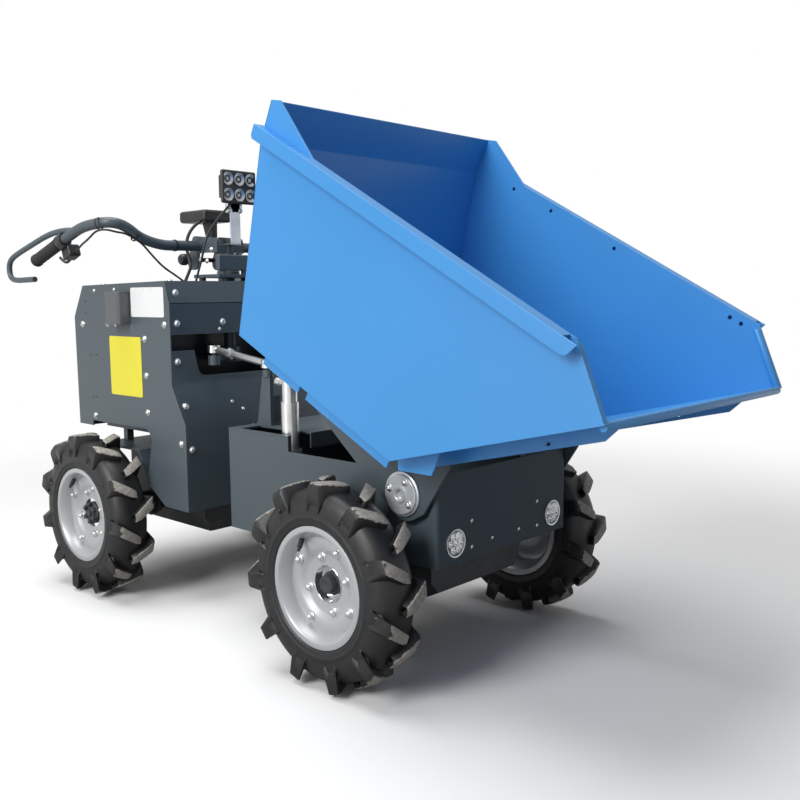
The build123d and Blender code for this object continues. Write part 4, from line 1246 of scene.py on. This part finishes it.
def buttonBolt():
    # round socket head on a washer, standing along local Y
    head = spinProfile(
        "boltHead", [(0, 1.9), (2.5, 1.9), (2.9, 5.4), (4.6, 5.2), (6.4, 3.6), (6.9, 1.3), (0, 1.3)], 24,
    )
    washer = spinProfile("boltWasher", [(0, 0), (8.8, 0), (8.8, 1.0), (8.3, 1.4), (0, 1.4)], 28)
    smoothBy(head, 38)
    smoothBy(washer, 38)
    return joinPieces([head, washer], "buttonBolt")


def placeBolts(name, body, spots, size=1.0):
    bolt = buttonBolt()
    scale = Matrix.Diagonal((size, size, size, 1))
    placed = copiesAt(bolt, [alongLocalY(at(*spot[:3]), spot[3]) @ scale for spot in spots], name)
    dropPiece(bolt)
    return finishPiece(placed, body, zincPlate)


def makeBolts():
    outward, ahead, slope = (0, -1, 0), (1, 0, 0), (0.873, 0, 0.488)
    sideSpots = [(-1058, 700), (-925, 703), (-660, 704), (-751, 667), (-749, 574), (-749, 480), (-605, 414),
                 (-1010, 452)]
    right = [(x, -255, z, outward) for x, z in sideSpots]
    left = [(x, 255, z, (0, 1, 0)) for x, z in sideSpots]
    face = [(-637, -236, 782, ahead), (-637, -234, 707, ahead), (-637, -98, 708, ahead), (-637, -236, 613, ahead),
            (-609, -236, 505, slope), (-585, -51, 436, ahead), (-585, -238, 400, ahead)]
    face += [(x, -y, z, way) for x, y, z, way in face]
    placeBolts("panelBoltsRight", "rear", right)
    placeBolts("panelBoltsLeft", "rear", left)
    placeBolts("faceBolts", "rear", face)
    small = [(-637, -108, 690, ahead), (-609, -96, 505, slope), (-598, -70, 485, slope), (-888, -255, 792, outward),
             (-888, -255, 700, outward), (-990, -255, 790, outward)]
    placeBolts("smallRivets", "rear", small, 0.55)
    lid = [(x, y, 805.2 + (x + 1052) * 0.0176, (0, 0, 1)) for x in (-1010, -690) for y in (-215, 215)]
    placeBolts("lidBolts", "rear", lid, 0.8)
    back = [(-1101.6, y, z, (-1, 0, 0)) for y in (-215, 215) for z in (470, 660)]
    placeBolts("backBolts", "rear", back)
    cheek = [(x, side * 43, z, (0, side, 0)) for side in (-1, 1) for x, z in ((-802, 870), (-773, 866), (-752, 896))]
    placeBolts("cheekBolts", "steering", cheek, 0.8)
    nose = [(183, side * y, z, ahead) for side in (-1, 1) for y, z in ((113, 273), (113, 326), (46, 278))]
    placeBolts("bumperStuds", "front", nose, 0.63)
    placeBolts("lampBolts", "steering", [(-700, y, 996, ahead) for y in (-17, 17)], 0.8)


def makePlate(name, corners, push, material):
    plate = outlinePlate(name, corners, push, 0.35)
    return finishPiece(plate, "rear", material)


def roundedCorners(low, high, radius):
    # corner points of a rounded rectangle, (u, v)
    points = []
    for centreU, centreV, start in ((high[0] - radius, high[1] - radius, 0), (low[0] + radius, high[1] - radius, 90),
                                    (low[0] + radius, low[1] + radius, 180),
                                    (high[0] - radius, low[1] + radius, 270)):
        for step in range(5):
            turn = radians(start + step * 22.5)
            points.append((centreU + cos(turn) * radius, centreV + sin(turn) * radius))
    return points


def makePlates():
    white = roundedCorners((-808, 722), (-659, 796), 6)
    yellow = roundedCorners((-921, 517), (-769, 671), 5)
    makePlate("whitePlate", [(x, -255, z) for x, z in white], (0, -0.9, 0), whiteVinyl)
    makePlate("yellowPlate", [(x, -255, z) for x, z in yellow], (0, -0.9, 0), yellowVinyl)
    # small black discs on both side panels stand for holes; their dark is painted shade
    dots = []
    for x, z in ((-1039, 762), (-1039, 731), (-1024, 617), (-992, 618), (-1022, 502), (-1005, 503)):
        for side in (-1, 1):
            dots.append(barBetween("dot", at(x, side * 254, z), at(x, side * 255.35, z), 0.0024, 16))
    finishPiece(joinPieces(dots, "holeShadeDiscs"), "rear", gripRubber)


def makePivots():
    discs = []
    for side in (-1, 1):
        back = spinProfile("pivotBack", [(0, -24), (40, -24), (40, -1), (44, 0), (44, 3.4), (43, 4), (0, 4)], 72)
        front = spinProfile("pivotFlange", [
            (0, 5), (9.5, 5), (10, 11), (12.5, 12.4), (15.5, 12.4), (16.2, 9.4), (38, 9.4), (39.6, 8.2),
            (39.6, 4), (0, 4),
        ], 72)
        for disc in (back, front):
            smoothBy(disc, 35)
            disc.matrix_world = alongLocalY(at(110, side * 233.2, 390), (0, side, 0))
            applyPlace(disc)
            discs.append(disc)
    finishPiece(joinPieces(discs, "tipPivots"), "front", spangledZinc, ["tip_pivots"])
    spots = []
    for side in (-1, 1):
        for angle in (161, 62, 323):
            x, z = 110 + cos(radians(angle)) * 29, 390 + sin(radians(angle)) * 29
            spots.append((x, side * 242.6, z, (0, side, 0)))
    placeBolts("pivotBolts", "front", spots, 0.85)


def makeBumperLamps():
    bowl = spinProfile("lampBowl", [
        (0, -9), (14, -8.4), (21, -5), (24.8, 0.6), (25.4, 3.4), (28.2, 3.6), (28.4, 0.3), (25.4, -1),
        (20, -11), (0, -12),
    ], 64)
    lens = spinProfile("lampLens", [(0, 7.4), (10, 7), (18, 5.8), (24.9, 3.4), (24.9, 2.2), (17, 4.4), (0, 5.8)], 64)
    cup = spinProfile("ledCup", [(1.6, -7), (3.2, -5.4), (5.6, -1.8), (6.7, 1.2), (7.2, 1.2), (6, -4), (3.4, -8)], 20)
    chip = roundedBlock("ledSpot", (-0.0024, -0.0078, -0.0024), (0.0024, -0.0048, 0.0024), 0.0005, 2)
    for piece in (bowl, lens, cup):
        smoothBy(piece, 40)
    ring = [(0, 0)] + [(cos(index * pi / 3) * 14.6, sin(index * pi / 3) * 14.6) for index in range(6)]
    centres = [alongLocalY(at(186, side * 167, 292), (1, 0, 0)) for side in (-1, 1)]
    spots = [centre @ Matrix.Translation((u * mm, 0, v * mm)) for centre in centres for u, v in ring]
    finishPiece(joinPieces([copiesAt(bowl, centres, "bowls"), copiesAt(cup, spots, "cups")], "bumperLamps"), "front",
                lampBowl, ["bumper_lamps"])
    finishPiece(copiesAt(chip, spots, "bumperLeds"), "front", ledChip)
    finishPiece(copiesAt(lens, centres, "bumperLenses"), "front", lampLens)
    for piece in (bowl, lens, cup, chip):
        dropPiece(piece)


makeBolts()
makePlates()
makePivots()
makeBumperLamps()
print("bolts, plates and lamps done")


# Floor, lights and camera

stageLook = {
    "floorSize": 60.0, "floorColour": (0.95, 0.95, 0.95), "bounceColour": (0.42, 0.42, 0.42), "fadeFrom": 0.9,
    "fadeTo": 3.4,
}


def makeFloor():
    deselectAll()
    bpy.ops.mesh.primitive_plane_add(size=stageLook["floorSize"], location=(0, 0, 0))
    floor = bpy.context.active_object
    floor.name = "floor"
    material = bpy.data.materials.new("paleFloor")
    material.use_nodes = True
    tree = material.node_tree
    shader = tree.nodes["Principled BSDF"]
    shader.inputs["Roughness"].default_value = 0.9
    shader.inputs["Specular IOR Level"].default_value = 0.0
    white = tree.nodes.new("ShaderNodeEmission")
    white.inputs["Strength"].default_value = 1.0
    place = tree.nodes.new("ShaderNodeTexCoord")
    length = tree.nodes.new("ShaderNodeVectorMath")
    length.operation = "LENGTH"
    tree.links.new(place.outputs["Object"], length.inputs[0])
    fade = addRange(tree, length.outputs["Value"], stageLook["fadeFrom"], stageLook["fadeTo"])
    fade.node.interpolation_type = "SMOOTHERSTEP"
    rays = tree.nodes.new("ShaderNodeLightPath")
    seen = addMath(tree, "ADD", rays.outputs["Is Camera Ray"], rays.outputs["Is Glossy Ray"], clamp=True)
    # the floor throws back less light than it shows
    tone = mixColours(tree, rays.outputs["Is Camera Ray"], stageLook["bounceColour"], stageLook["floorColour"])
    tree.links.new(tone, shader.inputs["Base Color"])
    mix = tree.nodes.new("ShaderNodeMixShader")
    tree.links.new(addMath(tree, "MULTIPLY", fade, seen), mix.inputs["Fac"])
    tree.links.new(shader.outputs["BSDF"], mix.inputs[1])
    tree.links.new(white.outputs["Emission"], mix.inputs[2])
    tree.links.new(mix.outputs["Shader"], tree.nodes["Material Output"].inputs["Surface"])
    floor.data.materials.append(material)


def makeWorld():
    world = bpy.data.worlds.new("studio")
    bpy.context.scene.world = world
    world.use_nodes = True
    tree = world.node_tree
    soft = tree.nodes["Background"]
    soft.inputs["Color"].default_value = (1, 1, 1, 1)
    soft.inputs["Strength"].default_value = 0.215
    white = tree.nodes.new("ShaderNodeBackground")
    white.inputs["Color"].default_value = (1, 1, 1, 1)
    white.inputs["Strength"].default_value = 1.0
    rays = tree.nodes.new("ShaderNodeLightPath")
    seen = addMath(tree, "ADD", rays.outputs["Is Camera Ray"], rays.outputs["Is Transmission Ray"], clamp=True)
    seen = addMath(tree, "ADD", seen, addMath(tree, "MULTIPLY", rays.outputs["Is Glossy Ray"], 0.5), clamp=True)
    mix = tree.nodes.new("ShaderNodeMixShader")
    tree.links.new(seen, mix.inputs["Fac"])
    tree.links.new(soft.outputs["Background"], mix.inputs[1])
    tree.links.new(white.outputs["Background"], mix.inputs[2])
    tree.links.new(mix.outputs["Shader"], tree.nodes["World Output"].inputs["Surface"])


def areaLight(name, place, target, size, power):
    data = bpy.data.lights.new(name, "AREA")
    data.shape = "DISK"
    data.size = size
    data.energy = power
    lamp = bpy.data.objects.new(name, data)
    bpy.context.collection.objects.link(lamp)
    lamp.location = place
    lamp.rotation_mode = "QUATERNION"
    lamp.rotation_quaternion = (Vector(target) - Vector(place)).to_track_quat("-Z", "Y")


def makeCamera():
    # fitted to the photograph: place in millimetres from the front axle, angles in degrees
    view = {"place": (1302.3, -1519.5, 776.5), "yaw": 132.950, "down": 6.623, "roll": -0.525, "lens": 41.51}
    yaw, down, roll = (radians(view[key]) for key in ("yaw", "down", "roll"))
    ahead = Vector((cos(yaw) * cos(down), sin(yaw) * cos(down), -sin(down)))
    level = Vector((sin(yaw), -cos(yaw), 0))
    above = level.cross(ahead)
    right = cos(roll) * level + sin(roll) * above
    top = -sin(roll) * level + cos(roll) * above
    data = bpy.data.cameras.new("studioCamera")
    data.sensor_width = 36.0
    data.lens = view["lens"]
    data.clip_start = 0.05
    data.clip_end = 200.0
    camera = bpy.data.objects.new("studioCamera", data)
    bpy.context.collection.objects.link(camera)
    turn = Matrix((right, top, -ahead)).transposed()
    camera.matrix_world = Matrix.Translation(at(*view["place"])) @ turn.to_4x4()
    bpy.context.scene.camera = camera


makeFloor()
makeWorld()
areaLight("keyLight", (0.1, -4.5, 3.2), (-0.1, 0, 0.6), 2.6, 172.0)
areaLight("sideLight", (-0.5, -4.4, 1.0), (-0.1, 0, 0.4), 1.6, 26.0)
areaLight("topLight", (-0.7, -0.4, 4.6), (-0.1, 0, 0.5), 3.5, 140.0)
makeCamera()
bpy.context.scene.view_settings.view_transform = "Standard"
print("stage ready")
